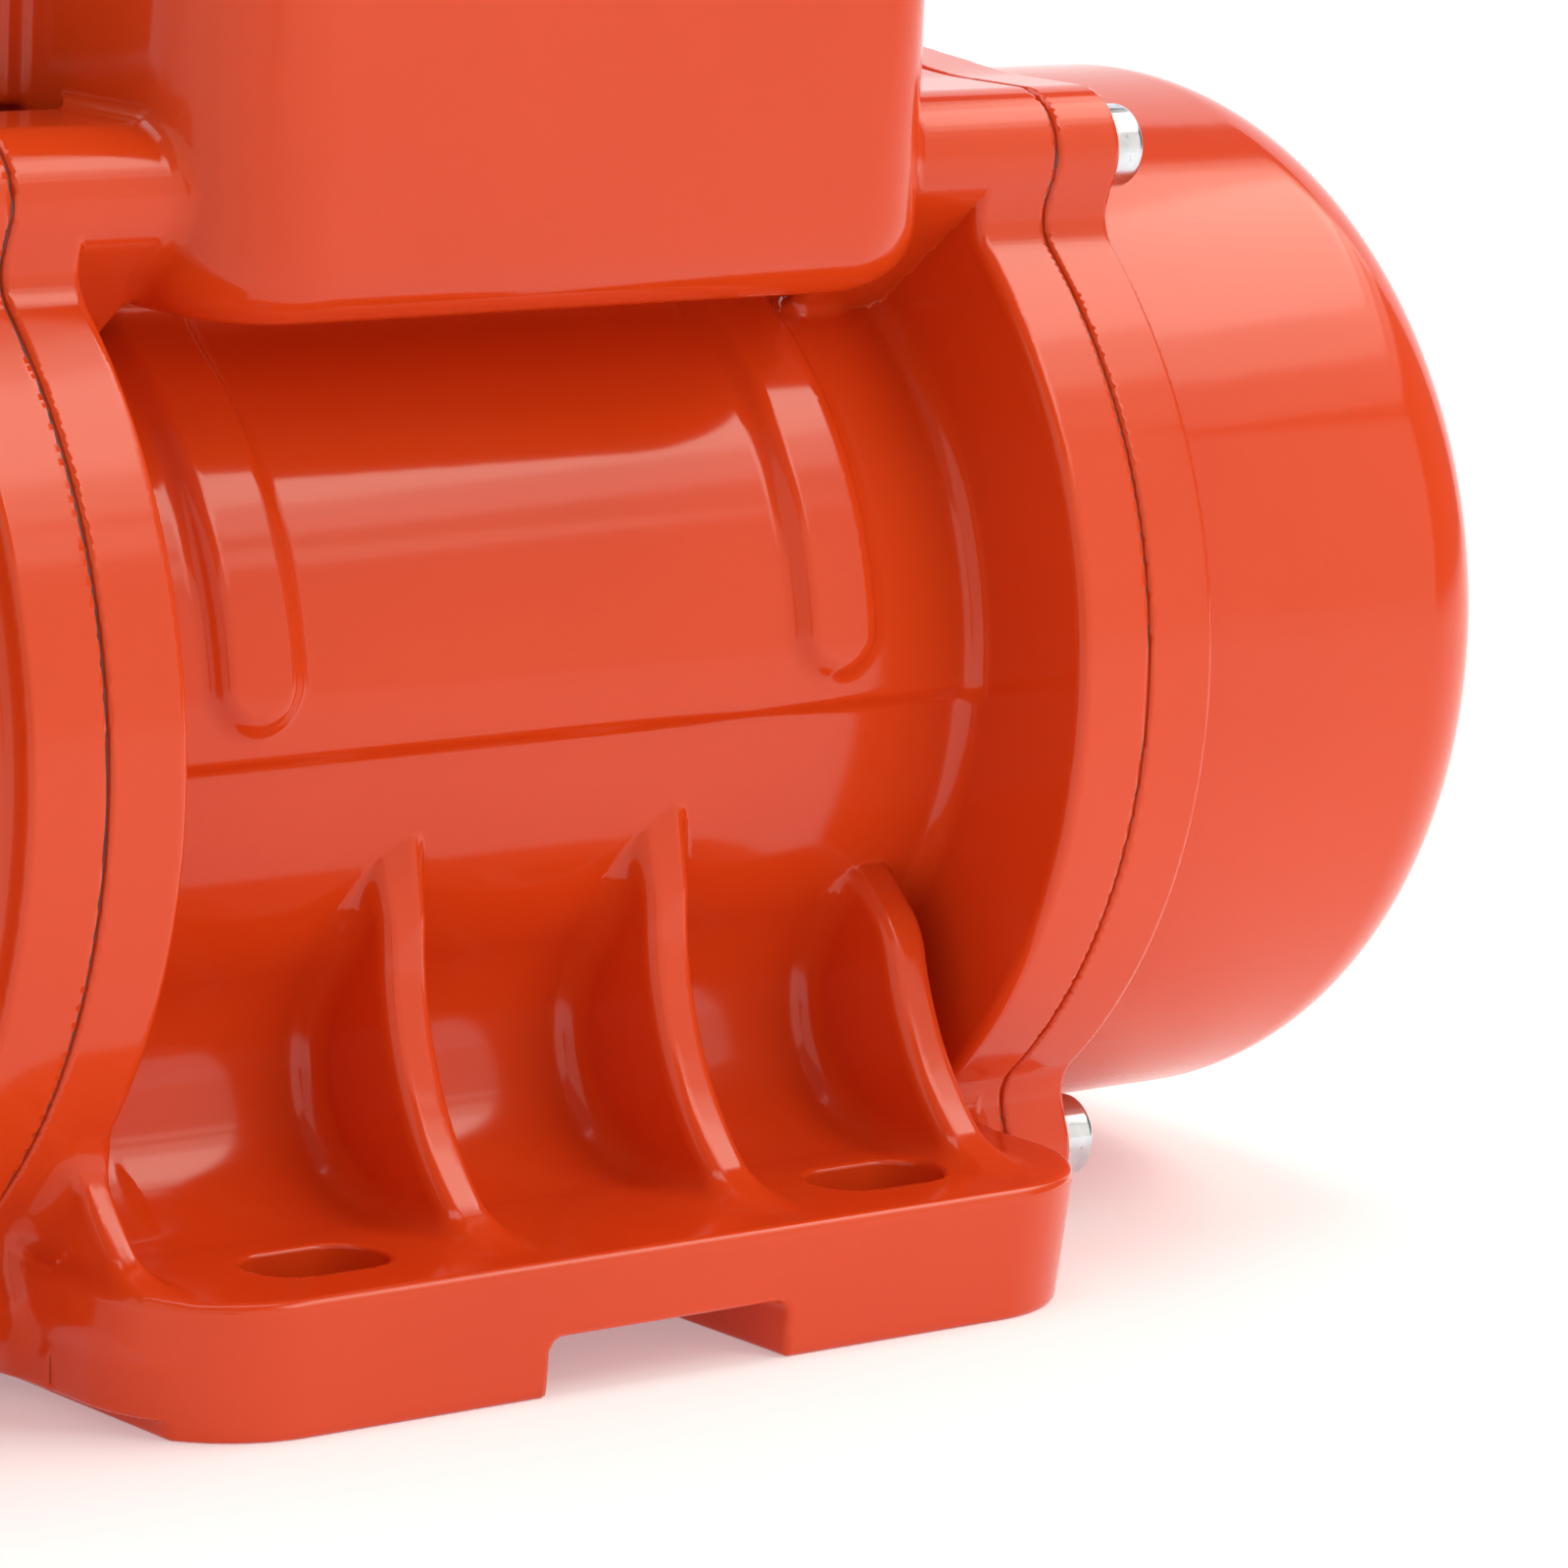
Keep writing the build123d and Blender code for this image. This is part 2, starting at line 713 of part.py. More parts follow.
save(earth_washer.part, "earth_washer")
washer_top_z = box_floor_z + washer_thickness
earth_seat = Plane(origin=(earth_x, earth_y, washer_top_z), z_dir=(0, 0, 1))
save(cap_screw(earth_seat, earth_screw, washer_thickness + floor_tap - free_gap), "earth_screw")

# Cable gland: it screws into the entry pad and points along -X
entry_face = Plane(origin=(entry_face_x, 0, entry_z), x_dir=(0, 1, 0), z_dir=(-1, 0, 0))

with BuildPart() as gland_body:
    with BuildSketch(entry_face):
        RegularPolygon(gland_flats / 2, 6, major_radius=False)
    extrude(amount=gland_hex)
    with BuildSketch(entry_face):
        Circle(gland_thread_radius - thread_fit)
    extrude(amount=-(entry_proud + box_wall))
    with BuildSketch(entry_face.offset(gland_hex)):
        Circle(gland_collar_radius)
    extrude(amount=gland_collar)
    with BuildSketch(entry_face.offset(gland_hex + gland_collar)):
        Circle(gland_bore)
    extrude(amount=-(gland_hex + gland_collar + entry_proud + box_wall), mode=Mode.SUBTRACT)

save(gland_body.part, "gland_body")

gland_nut_face = entry_face.offset(gland_hex + free_gap)
with BuildPart() as gland_nut:
    with BuildSketch(gland_nut_face):
        RegularPolygon(gland_flats / 2, 6, major_radius=False)
    extrude(amount=gland_nut_length)
    with BuildSketch(gland_nut_face):
        Circle(gland_flats / 2 - free_gap)
    extrude(amount=gland_nut_length + gland_dome)
    fillet(gland_nut.faces().sort_by(Axis.X)[0].edges(), gland_round)
    with BuildSketch(gland_nut_face):
        Circle(gland_collar_radius + thread_fit)
    extrude(amount=gland_collar - free_gap, mode=Mode.SUBTRACT)
    with BuildSketch(gland_nut_face):
        Circle(gland_nut_bore)
    extrude(amount=gland_nut_length + gland_dome, mode=Mode.SUBTRACT)

save(gland_nut.part, "gland_nut")

with BuildPart() as gland_ring:
    with BuildSketch(entry_face.offset(gland_hex + gland_collar)):
        Circle(gland_bore)
        Circle(gland_ring_bore, mode=Mode.SUBTRACT)
    extrude(amount=-gland_collar)

save(gland_ring.part, "gland_ring")

# Bearing shield: rim in the casing's register, spigot in its bore, hub round the bearing
rim_outer_x = register_floor_x + shield_rim
bearing_seat = bearing_outer / 2
retainer_outer_x = bearing_outer_x + retainer_width
bearing_shield = turned([
    (hub_inner_x, hub_lip),
    (bearing_inner_x, hub_lip),
    (bearing_inner_x, bearing_seat),
    (bearing_outer_x, bearing_seat),
    (bearing_outer_x, bearing_seat + retainer_depth),
    (retainer_outer_x, bearing_seat + retainer_depth),
    (retainer_outer_x, bearing_seat),
    (hub_outer_x, bearing_seat),
    (hub_outer_x, hub_radius),
    (rim_outer_x, hub_radius),
    (rim_outer_x, register_radius - slide_fit),
    (register_floor_x, register_radius - slide_fit),
    (register_floor_x, bore_radius - slide_fit),
    (shield_spigot_x, bore_radius - slide_fit),
    (shield_spigot_x, bore_radius - shield_spigot_wall),
    (shield_web_x, bore_radius - shield_spigot_wall),
    (shield_web_x, hub_radius),
    (hub_inner_x, hub_radius),
])


def open_ring(x_from, x_to, r_inner, r_outer):
    """Retaining ring with its gap at the top."""
    with BuildPart() as piece:
        add(ring(x_from, x_to, r_inner, r_outer))
        with BuildSketch(section(x_from)):
            Rectangle(ring_gap, 2 * r_outer, align=(Align.CENTER, Align.MIN))
        extrude(amount=x_to - x_from, mode=Mode.SUBTRACT)
    return piece.part


retainer_outer = bearing_seat + retainer_depth
bearing_retainer = open_ring(bearing_outer_x, retainer_outer_x, retainer_inner, retainer_outer)

# Ball bearing: two grooved rings, the balls, and the cage between them
with BuildPart() as race_groove:
    with BuildSketch(axial):
        with Locations((bearing_mid_x, ball_pitch_radius)):
            Circle(ball_diameter / 2 + ball_play)
    revolve(axis=shaft_line)

with BuildPart() as bearing_outer_ring:
    add(ring(bearing_inner_x, bearing_outer_x, bearing_seat - race_land, bearing_seat))
    add(race_groove.part, mode=Mode.SUBTRACT)

with BuildPart() as bearing_inner_ring:
    add(ring(bearing_inner_x, bearing_outer_x, bearing_bore / 2, bearing_bore / 2 + race_land))
    add(race_groove.part, mode=Mode.SUBTRACT)

with BuildPart(section(bearing_mid_x)) as bearing_balls:
    with PolarLocations(ball_pitch_radius, ball_count):
        Sphere(ball_diameter / 2)

with BuildPart() as bearing_cage:
    cage_from = bearing_mid_x - cage_width / 2
    cage_inner = ball_pitch_radius - cage_thickness / 2
    add(ring(cage_from, cage_from + cage_width, cage_inner, cage_inner + cage_thickness))
    cage_plane = Plane(origin=(bearing_mid_x, 0, shaft_height))
    for turn in range(ball_count):
        with BuildSketch(cage_plane.rotated((turn * 360 / ball_count, 0, 0))):
            Circle(ball_diameter / 2 + cage_play)
        extrude(amount=bearing_outer / 2, mode=Mode.SUBTRACT)

# Stator pack with its slots, and the winding that fills them
with BuildPart() as stator_core:
    with BuildSketch(section(-core_length / 2)):
        Circle(bore_radius - seat_fit)
        Circle(stator_bore, mode=Mode.SUBTRACT)
        with PolarLocations((slot_mouth_radius + slot_bottom_radius) / 2, stator_slots):
            Rectangle(slot_bottom_radius - slot_mouth_radius, stator_slot_width, mode=Mode.SUBTRACT)
        with PolarLocations((stator_bore + slot_mouth_radius) / 2, stator_slots):
            Rectangle(slot_mouth_radius - stator_bore + 2 * free_gap, slot_opening, mode=Mode.SUBTRACT)
    extrude(amount=core_length)

save(stator_core.part, "stator_core")

with BuildPart() as stator_winding:
    with BuildSketch(section(-core_length / 2)):
        with PolarLocations((slot_mouth_radius + slot_bottom_radius) / 2, stator_slots):
            slot_depth = slot_bottom_radius - slot_mouth_radius
            Rectangle(slot_depth - 2 * seat_fit, stator_slot_width - 2 * seat_fit)
    extrude(amount=core_length)
    for side in sides:
        with BuildSketch(axial):
            with Locations((side * (core_length + coil_overhang) / 2, (coil_inner + coil_outer) / 2)):
                RectangleRounded(coil_overhang, coil_outer - coil_inner, coil_round)
        revolve(axis=shaft_line)

save(stator_winding.part, "stator_winding")

# Rotor pack, and the cage cast into it
with BuildPart() as rotor_core:
    with BuildSketch(section(-core_length / 2)):
        Circle(rotor_radius)
        Circle(shaft_core_radius, mode=Mode.SUBTRACT)
        with PolarLocations(bar_pitch_radius, rotor_bars):
            Circle(bar_radius, mode=Mode.SUBTRACT)
    extrude(amount=core_length)

save(rotor_core.part, "rotor_core")

with BuildPart() as rotor_cage:
    with BuildSketch(section(-core_length / 2)):
        with PolarLocations(bar_pitch_radius, rotor_bars):
            Circle(bar_radius)
    extrude(amount=core_length)
    for side in sides:
        face_x = side * core_length / 2
        add(ring(face_x, face_x + side * cage_ring_length, cage_ring_inner, rotor_radius - free_gap))

save(rotor_cage.part, "rotor_cage")

# Shaft: pack seat, bearing shoulders, journals, and keyed ends with a ring groove
groove_x = weight_stack_x
groove_radius = weight_seat_radius - shaft_ring_depth
half_profile = [
    (shoulder_x, shaft_core_radius),
    (shoulder_x, shaft_shoulder_radius),
    (bearing_inner_x, shaft_shoulder_radius),
    (bearing_inner_x, bearing_bore / 2),
    (bearing_outer_x, bearing_bore / 2),
    (bearing_outer_x, weight_seat_radius),
    (groove_x, weight_seat_radius),
    (groove_x, groove_radius),
    (groove_x + shaft_ring_width, groove_radius),
    (groove_x + shaft_ring_width, weight_seat_radius),
    (shaft_end_x - shaft_chamfer, weight_seat_radius),
    (shaft_end_x, weight_seat_radius - shaft_chamfer),
    (shaft_end_x, 0),
]
key_middle_x = fixed_weight_x + weight_thickness / 2

with BuildPart() as rotor_shaft:
    add(turned([(-x, r) for x, r in reversed(half_profile)] + half_profile))
    with BuildSketch(Plane.XY.offset(shaft_height + weight_seat_radius - key_seat)):
        with Locations((-key_middle_x, 0), (key_middle_x, 0)):
            SlotOverall(key_length, key_width)
    extrude(amount=weight_seat_radius, mode=Mode.SUBTRACT)

save(rotor_shaft.part, "rotor_shaft")

with BuildPart() as weight_key:
    with BuildSketch(Plane.XY.offset(shaft_height + weight_seat_radius - key_seat)):
        with Locations((key_middle_x, 0)):
            SlotOverall(key_length, key_width)
    extrude(amount=key_height)


def weight_outline(x, bore):
    """Eccentric weight: a heavy sector that hangs below the shaft, and a hub round it."""
    with BuildSketch(section(x)) as outline:
        start = -90 - weight_spread / 2
        with BuildLine():
            rim = CenterArc((0, 0), weight_radius, start, weight_spread)
            Line((0, 0), rim @ 0)
            Line(rim @ 1, (0, 0))
        make_face()
        centre = Vertex(x, 0, shaft_height)
        tips = outline.vertices().filter_by(lambda v: v.distance_to(centre) > weight_hub_radius)
        fillet(tips, weight_corner)
        Circle(weight_hub_radius)
        Circle(bore, mode=Mode.SUBTRACT)
    return outline.sketch


# Fixed weight, keyed to the shaft
with BuildPart() as fixed_weight:
    extrude(weight_outline(fixed_weight_x, weight_seat_radius), amount=weight_thickness)
    key_top = weight_seat_radius - key_seat + key_height
    with BuildSketch(section(fixed_weight_x)):
        Rectangle(key_width, key_top, align=(Align.CENTER, Align.MIN))
        Circle(weight_seat_radius, mode=Mode.SUBTRACT)
    extrude(amount=weight_thickness, mode=Mode.SUBTRACT)

# Adjustable weight, split at the top and clamped on the shaft by a cross screw
clamp_x = adjust_weight_x + weight_thickness / 2
clamp_z = shaft_height + clamp_height
clamp_seat = Plane(origin=(clamp_x, clamp_ear, clamp_z), x_dir=(1, 0, 0), z_dir=(0, 1, 0))

with BuildPart() as adjustable_weight:
    extrude(weight_outline(adjust_weight_x, weight_seat_radius + slide_fit), amount=weight_thickness)
    with BuildSketch(section(adjust_weight_x)):
        Rectangle(2 * clamp_ear, clamp_ear_top, align=(Align.CENTER, Align.MIN))
        Circle(weight_hub_radius / 2 + weight_seat_radius / 2, mode=Mode.SUBTRACT)
    extrude(amount=weight_thickness)
    with BuildSketch(section(adjust_weight_x)):
        Rectangle(clamp_slit, 2 * clamp_ear_top, align=(Align.CENTER, Align.MIN))
    extrude(amount=weight_thickness, mode=Mode.SUBTRACT)
    with BuildSketch(clamp_seat):
        Circle(clamp_screw / 2)
    extrude(amount=-2 * clamp_ear, mode=Mode.SUBTRACT)
    with BuildSketch(clamp_seat):
        Circle(clamp_screw * head_ratio / 2 + bore_play)
    extrude(amount=clamp_screw, mode=Mode.SUBTRACT)

clamp_screw_part = cap_screw(clamp_seat, clamp_screw, 2 * clamp_ear)
spacer = ring(bearing_outer_x, spacer_end_x, weight_seat_radius, spacer_radius)
shaft_ring = open_ring(groove_x, groove_x + shaft_ring_width, groove_radius, shaft_ring_outer)

# Every piece that both ends of the motor have
end_pieces = {
    "end_cover": end_cover.part,
    "cover_seal": cover_seal,
    "cover_screws": cover_screws.part,
    "bearing_shield": bearing_shield,
    "bearing_retainer": bearing_retainer,
    "bearing_outer_ring": bearing_outer_ring.part,
    "bearing_inner_ring": bearing_inner_ring.part,
    "bearing_balls": bearing_balls.part,
    "bearing_cage": bearing_cage.part,
    "spacer": spacer,
    "weight_key": weight_key.part,
    "fixed_weight": fixed_weight.part,
    "adjustable_weight": adjustable_weight.part,
    "clamp_screw": clamp_screw_part,
    "shaft_ring": shaft_ring,
}
for label, piece in end_pieces.items():
    save(piece, f"{label}_right")
    save(mirrored(piece), f"{label}_left")
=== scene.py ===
import json
import math

import bpy
import numpy as np
import openvdb
from mathutils import Matrix, Vector


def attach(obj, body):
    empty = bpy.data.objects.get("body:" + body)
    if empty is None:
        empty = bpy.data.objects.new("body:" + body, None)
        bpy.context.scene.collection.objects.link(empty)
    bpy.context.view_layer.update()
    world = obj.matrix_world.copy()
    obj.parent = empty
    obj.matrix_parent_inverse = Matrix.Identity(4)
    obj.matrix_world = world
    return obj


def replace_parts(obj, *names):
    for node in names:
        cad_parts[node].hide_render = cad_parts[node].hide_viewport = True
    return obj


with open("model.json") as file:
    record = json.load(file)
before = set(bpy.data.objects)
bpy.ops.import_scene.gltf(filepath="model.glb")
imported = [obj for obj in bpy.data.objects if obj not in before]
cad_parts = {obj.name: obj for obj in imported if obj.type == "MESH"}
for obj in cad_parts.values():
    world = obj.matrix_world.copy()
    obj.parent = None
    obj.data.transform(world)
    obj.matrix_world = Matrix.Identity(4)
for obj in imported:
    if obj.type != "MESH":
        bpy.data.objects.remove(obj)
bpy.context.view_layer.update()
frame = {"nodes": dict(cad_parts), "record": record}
scene = bpy.context.scene

# Sizes in millimetres, as the CAD model has them. The shaft runs along X, and z = 0 is the mounting face.
# X, Y and HALF sizes are distances from the middle, R sizes are radii, Z, LOW and TOP sizes are heights.
MM = 0.001

# Flanges, which the casing and the covers share, and their seam
SHAFT_Z = 60.5
SEAM_X, FLANGE_BACK, FLANGE_R = 62.2, 53.4, 58.6
LOBE_Y, LOBE_Z, LOBE_R, LOBE_BLEND = 34.5, 51.6, 6.4, 5.0
SEAM_GAP, SEAM_GAP_DEPTH = 0.3, 2.6

# Screws
SCREW, SCREW_HOLE_R, HEAD_R = 5.0, 2.75, 4.25
TAPPED_DEPTH = 9.3

# Screw bosses between flanges and terminal box: how far they reach in, and the way their underside slopes
BOSS_X, BOSS_INNER_Y, BOSS_SLOPE = 42.5, 23.06, (0.634, 0.774)
BOSS_FILLET, BOSS_FADE = 1.6, (47.5, 50.5)

# Covers
COVER_FACE, CUP_END = 70.9, 116.7
CUP_R, CUP_CORNER, CUP_WALL, CUP_FLOOR = 55.3, 12.7, 3.6, 65.2
SPIGOT_R, SPIGOT_END, SPIGOT_BORE = 50.9, 60.2, 47.5
GROOVE_R, GROOVE_HALF, GROOVE_END = 54.6, 0.9, 63.7

# Barrel with its ledge, its bore and the covers' registers, and the flares that run down to the feet
BARREL_R, LOW_R, LEDGE_Z, BORE_R = 42.5, 41.1, 58.8, 38.5
REGISTER_R, REGISTER_X = 51.0, 56.0
FLARE_R, FLARE_X = 14.0, 57.5

# Feet with their slots, the notch across them, the hollow belly and the relief beyond the pads
FOOT_X, FOOT_Y, FOOT_Z, FOOT_R, FOOT_DRAFT = 58.0, 65.0, 13.5, 15.0, 0.07
SLOT_X, SLOT_Y, SLOT_R, SLOT_STRAIGHT = 34.0, 53.0, 4.5, 3.0
NOTCH_X, NOTCH_TOP = 14.4, 5.8
BELLY_X, BELLY_Y, BELLY_R, BELLY_TOP = 48.0, 23.0, 6.0, 12.0
PAD_X, PAD_RELIEF = 54.0, 1.8

# Raised bands round the barrel
BAND_X, BAND_HALF, BAND_RISE, BAND_END = 35.0, 4.3, 1.6, 66.7

# Web ribs, seen from the shaft's end: a concave arc that runs on upward as a slanted line, which bends away
# below a height so that it leaves the arc alone. The low rib is cut off by a slope of its own.
RIB_ARC_R, RIB_ARC_Y, RIB_ARC_Z = 34.0, 76.0, 41.0
RIB_LINE_Y, RIB_LINE_SLOPE, RIB_LINE_LOW, RIB_LINE_BEND = 42.2, (0.977, 0.213), 37.0, 0.6
RIB_LOW, RIB_TOP, RIB_FILLET = 9.0, 56.0, 3.0
LOW_RIB_Y, LOW_RIB_Z, LOW_RIB_SLOPE = 41.0, 36.5, (0.66, 0.75)
TIP_SINK, TIP_HEIGHTS = 0.35, (38.0, 50.0)
# Where each one stands along the shaft, half its thickness and whether it ends low. The last is the gusset
# under the left flange.
RIBS = ((-16.0, 2.7, False), (16.0, 2.7, False), (46.0, 2.7, True), (-55.2, 1.8, False))

# Terminal box with its chamber, the pillars of the lid's screws and the hole for the wires
BOX_X, BOX_Y, BOX_R, BOX_LOW, BOX_TOP = 44.5, 48.5, 13.0, 100.0, 146.0
ROOM_X, ROOM_Y, ROOM_R, ROOM_LOW = 40.0, 44.0, 8.5, 107.5
PILLAR_X, PILLAR_Y, PILLAR_R, PILLAR_TAPPED = 35.5, 39.5, 6.0, 133.7
WIRE_X, WIRE_R = 34.3, 5.0
LID_LOW, LID_ROOM, LID_SEAT, LID_TOP, COUNTERBORE_R = 147.6, 156.1, 154.1, 159.6, 4.8

# Cable entry on the left, with its pad, and the gland. Sizes of the gland count outward from the pad's face.
ENTRY_X, ENTRY_Z, ENTRY_R = 47.5, 133.5, 10.0
ENTRY_PAD_Y, ENTRY_PAD_LOW = 16.0, 118.0
GLAND_HALF_FLATS, CORNER_SLOPE = 12.0, (1.7, 0.507)
SOCKET_NUT, SOCKET_CORNER, SOCKET_BORE = 3.0, 17.9, 6.85
THREAD_R, THREAD_DEPTH, THREAD_PITCH, THREAD_LENGTH = 9.85, 0.25, 1.5, 7.3
COLLAR_R, COLLAR_END = 9.35, 13.0
CAP_MIDDLE, CAP_HALF, CAP_CORNER, CAP_BORE, CAP_THREAD_R = 12.8, 6.5, 24.2, 6.3, 9.5
DOME_R, DOME_END, DOME_CORNER = 11.7, 22.3, 2.6
DOME_GROOVE = (12.1, 20.0, 0.9)

# Dark ring in the seams, painted shade of the gap between casing and cover: how far it lies below the rims,
# how thick and how deep it is, and its nicks, with their places round the seam and widths in degrees
SHADE_RING_SINK, SHADE_RING_THICK, SHADE_RING_DEPTH, NICK_RISE = 0.45, 0.3, 1.6, 0.45
NICKS = ((128.4, 0.5), (129.4, 0.3))


# Signed distances in millimetres, negative inside. The last argument of join, meet and cut is the radius of
# a fillet or a rounded edge. Limits in round numbers lie inside the material or in the open, where they
# shape nothing.

def join(a, b, r):
    """Union of two shapes with a fillet of radius r between them."""
    u, v = np.maximum(r - a, 0), np.maximum(r - b, 0)
    return np.maximum(r, np.minimum(a, b)) - np.sqrt(u * u + v * v)


def meet(a, b, r):
    """What two shapes share, with edges rounded to radius r."""
    u, v = np.maximum(r + a, 0), np.maximum(r + b, 0)
    return np.minimum(-r, np.maximum(a, b)) + np.sqrt(u * u + v * v)


def cut(a, b, r):
    """The first shape without the second."""
    return meet(a, -b, r)


def ramp(value, start, end):
    """Smooth step from 0 at the start to 1 at the end."""
    t = np.clip((value - start) / (end - start), 0, 1)
    return t * t * (3 - 2 * t)


def round_rect(x, y, half_x, half_y, r):
    qx, qy = np.abs(x) - (half_x - r), np.abs(y) - (half_y - r)
    return np.hypot(np.maximum(qx, 0), np.maximum(qy, 0)) + np.minimum(np.maximum(qx, qy), 0) - r


def hexagon(y, z, half_flats):
    slanted = np.maximum(np.abs(0.866 * y + 0.5 * z), np.abs(0.866 * y - 0.5 * z))
    return np.maximum(slanted, np.abs(z)) - half_flats


def flange_outline(R, ay, az):
    """Round flange with four screw lobes, flat along the top and the bottom."""
    flat = az - LOBE_Z - LOBE_R
    lobe = np.minimum(np.hypot(ay - LOBE_Y, az - LOBE_Z) - LOBE_R, np.maximum(ay - LOBE_Y, flat))
    return join(np.maximum(R - FLANGE_R, flat), lobe, LOBE_BLEND)


def boss_outline(ay, az):
    """Screw boss with a round corner, flat on its far side and sloping back to the barrel."""
    u, v = ay - LOBE_Y, az - LOBE_Z
    p, q = BOSS_SLOPE
    slope, along = p * u - q * v, -q * u - p * v
    corner = np.hypot(u, v)
    outline = np.where((v > 0) & (u <= 0), v, np.where((slope > 0) & (along >= 0), slope, corner))
    outline = np.where((v <= 0) & (slope <= 0), np.maximum(v, slope), outline)
    return np.maximum(outline - LOBE_R, BOSS_INNER_Y - ay)


# Casing

def barrel_and_feet(X, Y, Z, R):
    """Barrel whose upper part stands proud of the lower one along a ledge, its flares, and the feet."""
    ay, zc = np.abs(Y), Z - SHAFT_Z
    barrel = join(meet(R - BARREL_R, LEDGE_Z - Z, 1.3), R - LOW_R, 1.5)
    fz = FOOT_Z + FLARE_R - SHAFT_Z
    fy = math.sqrt((LOW_R + FLARE_R) ** 2 - fz**2)
    line = (zc * fy - ay * fz) / math.hypot(fy, fz)
    neck = np.maximum(np.maximum(ay - fy, line), FLARE_R - np.hypot(ay - fy, zc - fz))
    body = np.maximum(np.minimum(barrel, neck), np.abs(X) - FLARE_X)
    draft = (FOOT_Z - Z) * FOOT_DRAFT
    foot = round_rect(X, Y, FOOT_X - draft, FOOT_Y - draft, FOOT_R)
    return np.minimum(body, meet(foot, Z - FOOT_Z, 1.1))


def add_flanges_and_box(body, X, Y, Z, R):
    ax, ay, az = np.abs(X), np.abs(Y), np.abs(Z - SHAFT_Z)
    body = join(body, meet(flange_outline(R, ay, az), FLANGE_BACK - ax, 1.2), 2.4)
    body = join(body, meet(round_rect(X, Y, BOX_X, BOX_Y, BOX_R), BOX_LOW - Z, 7.0), 4.5)
    # The bosses' fillet fades out before the flanges, so that they run into these without a groove
    boss = meet(boss_outline(ay, az), BOSS_X - ax, 1.4)
    return join(body, boss, 0.02 + BOSS_FILLET * (1 - ramp(ax, *BOSS_FADE)))


def add_bands(body, X, Z, R):
    sides = np.hypot(np.abs(X) - BAND_X, np.maximum(BAND_END - Z, 0)) - BAND_HALF
    band = meet(R - BARREL_R - BAND_RISE, sides, 1.4)
    return join(body, np.maximum(band, Z - 110), 2.0)


def add_ribs(body, X, Y, Z, R):
    ay = np.abs(Y)
    arc = RIB_ARC_R - np.hypot(ay - RIB_ARC_Y, np.maximum(Z, FOOT_Z) - RIB_ARC_Z)
    p, q = RIB_LINE_SLOPE
    line = (ay - RIB_LINE_Y) * p + (Z - RIB_ARC_Z) * q - RIB_LINE_BEND * np.maximum(RIB_LINE_LOW - Z, 0)
    # The greater of the two, with a slightly rounded change
    crest = (arc + line + np.sqrt((arc - line) ** 2 + 0.05)) / 2
    web = np.maximum(np.maximum(crest, Z - RIB_TOP), RIB_LOW - Z)
    p, q = LOW_RIB_SLOPE
    low_web = meet(web, (Z - LOW_RIB_Z) * q + (ay - LOW_RIB_Y) * p, 2.0)
    for place, half, low in RIBS:
        # Near its tip a rib's left side sinks first, and the fillet at its root shrinks with its height
        sunk = TIP_SINK * ramp(Z, *TIP_HEIGHTS) * np.maximum(place + half - X, 0)
        outline = (low_web if low else web) + sunk
        root = np.clip(0.8 * (R - LOW_R - outline), 0.05, RIB_FILLET)
        body = join(body, meet(outline, np.abs(X - place) - half, 0.6 * half), root)
    return body


def add_entry_pad(body, X, Y, Z):
    pad = meet(meet(np.abs(Y) - ENTRY_PAD_Y, ENTRY_PAD_LOW - Z, 1.0), -ENTRY_X - X, 0.8)
    return join(body, np.maximum(pad, X + 40), 1.0)


def cut_hollows(body, X, Y, Z, R):
    """Takes out the bore with its registers, the terminal chamber, the holes between them and the threads."""
    ax, ay, az = np.abs(X), np.abs(Y), np.abs(Z - SHAFT_Z)
    body = cut(body, np.minimum(R - BORE_R, np.maximum(R - REGISTER_R, REGISTER_X - ax)), 0.4)
    room = np.maximum(round_rect(X, Y, ROOM_X, ROOM_Y, ROOM_R), ROOM_LOW - Z)
    pillar = np.hypot(ax - PILLAR_X, ay - PILLAR_Y)
    body = cut(body, cut(room, pillar - PILLAR_R, 1.0), 0.5)
    body = cut(body, np.maximum(pillar - SCREW / 2, PILLAR_TAPPED - Z), 0.2)
    body = cut(body, np.maximum(np.hypot(X - WIRE_X, Y) - WIRE_R, 62.0 - Z), 0.4)
    body = cut(body, np.maximum(np.hypot(Y, Z - ENTRY_Z) - ENTRY_R, X + 38), 0.4)
    tapped = np.hypot(ay - LOBE_Y, az - LOBE_Z) - SCREW / 2
    return cut(body, np.maximum(tapped, SEAM_X - TAPPED_DEPTH - ax), 0.2)


def cut_feet(body, X, Y, Z):
    """Takes out the foot slots, the notch across the feet, the belly and the relief beyond the pads."""
    ax, ay = np.abs(X), np.abs(Y)
    slot = np.hypot(np.maximum(np.abs(ax - SLOT_X) - SLOT_STRAIGHT, 0), ay - SLOT_Y) - SLOT_R
    body = cut(body, np.maximum(slot, Z - 30), 0.5)
    body = cut(body, meet(ax - NOTCH_X, Z - NOTCH_TOP, 1.5), 0.6)
    body = cut(body, meet(round_rect(X, Y, BELLY_X, BELLY_Y, BELLY_R), Z - BELLY_TOP, 2.0), 0.6)
    return cut(body, np.maximum(PAD_X - ax, Z - PAD_RELIEF), 0.5)


def casing_field(X, Y, Z):
    R = np.hypot(Y, Z - SHAFT_Z)
    body = barrel_and_feet(X, Y, Z, R)
    body = add_flanges_and_box(body, X, Y, Z, R)
    body = add_bands(body, X, Z, R)
    body = add_ribs(body, X, Y, Z, R)
    body = add_entry_pad(body, X, Y, Z)
    body = meet(body, np.abs(X) - SEAM_X, 0.35)
    body = meet(body, Z - BOX_TOP, 0.5)
    body = cut_hollows(body, X, Y, Z, R)
    body = cut_feet(body, X, Y, Z)
    return meet(body, -Z, 0.5)


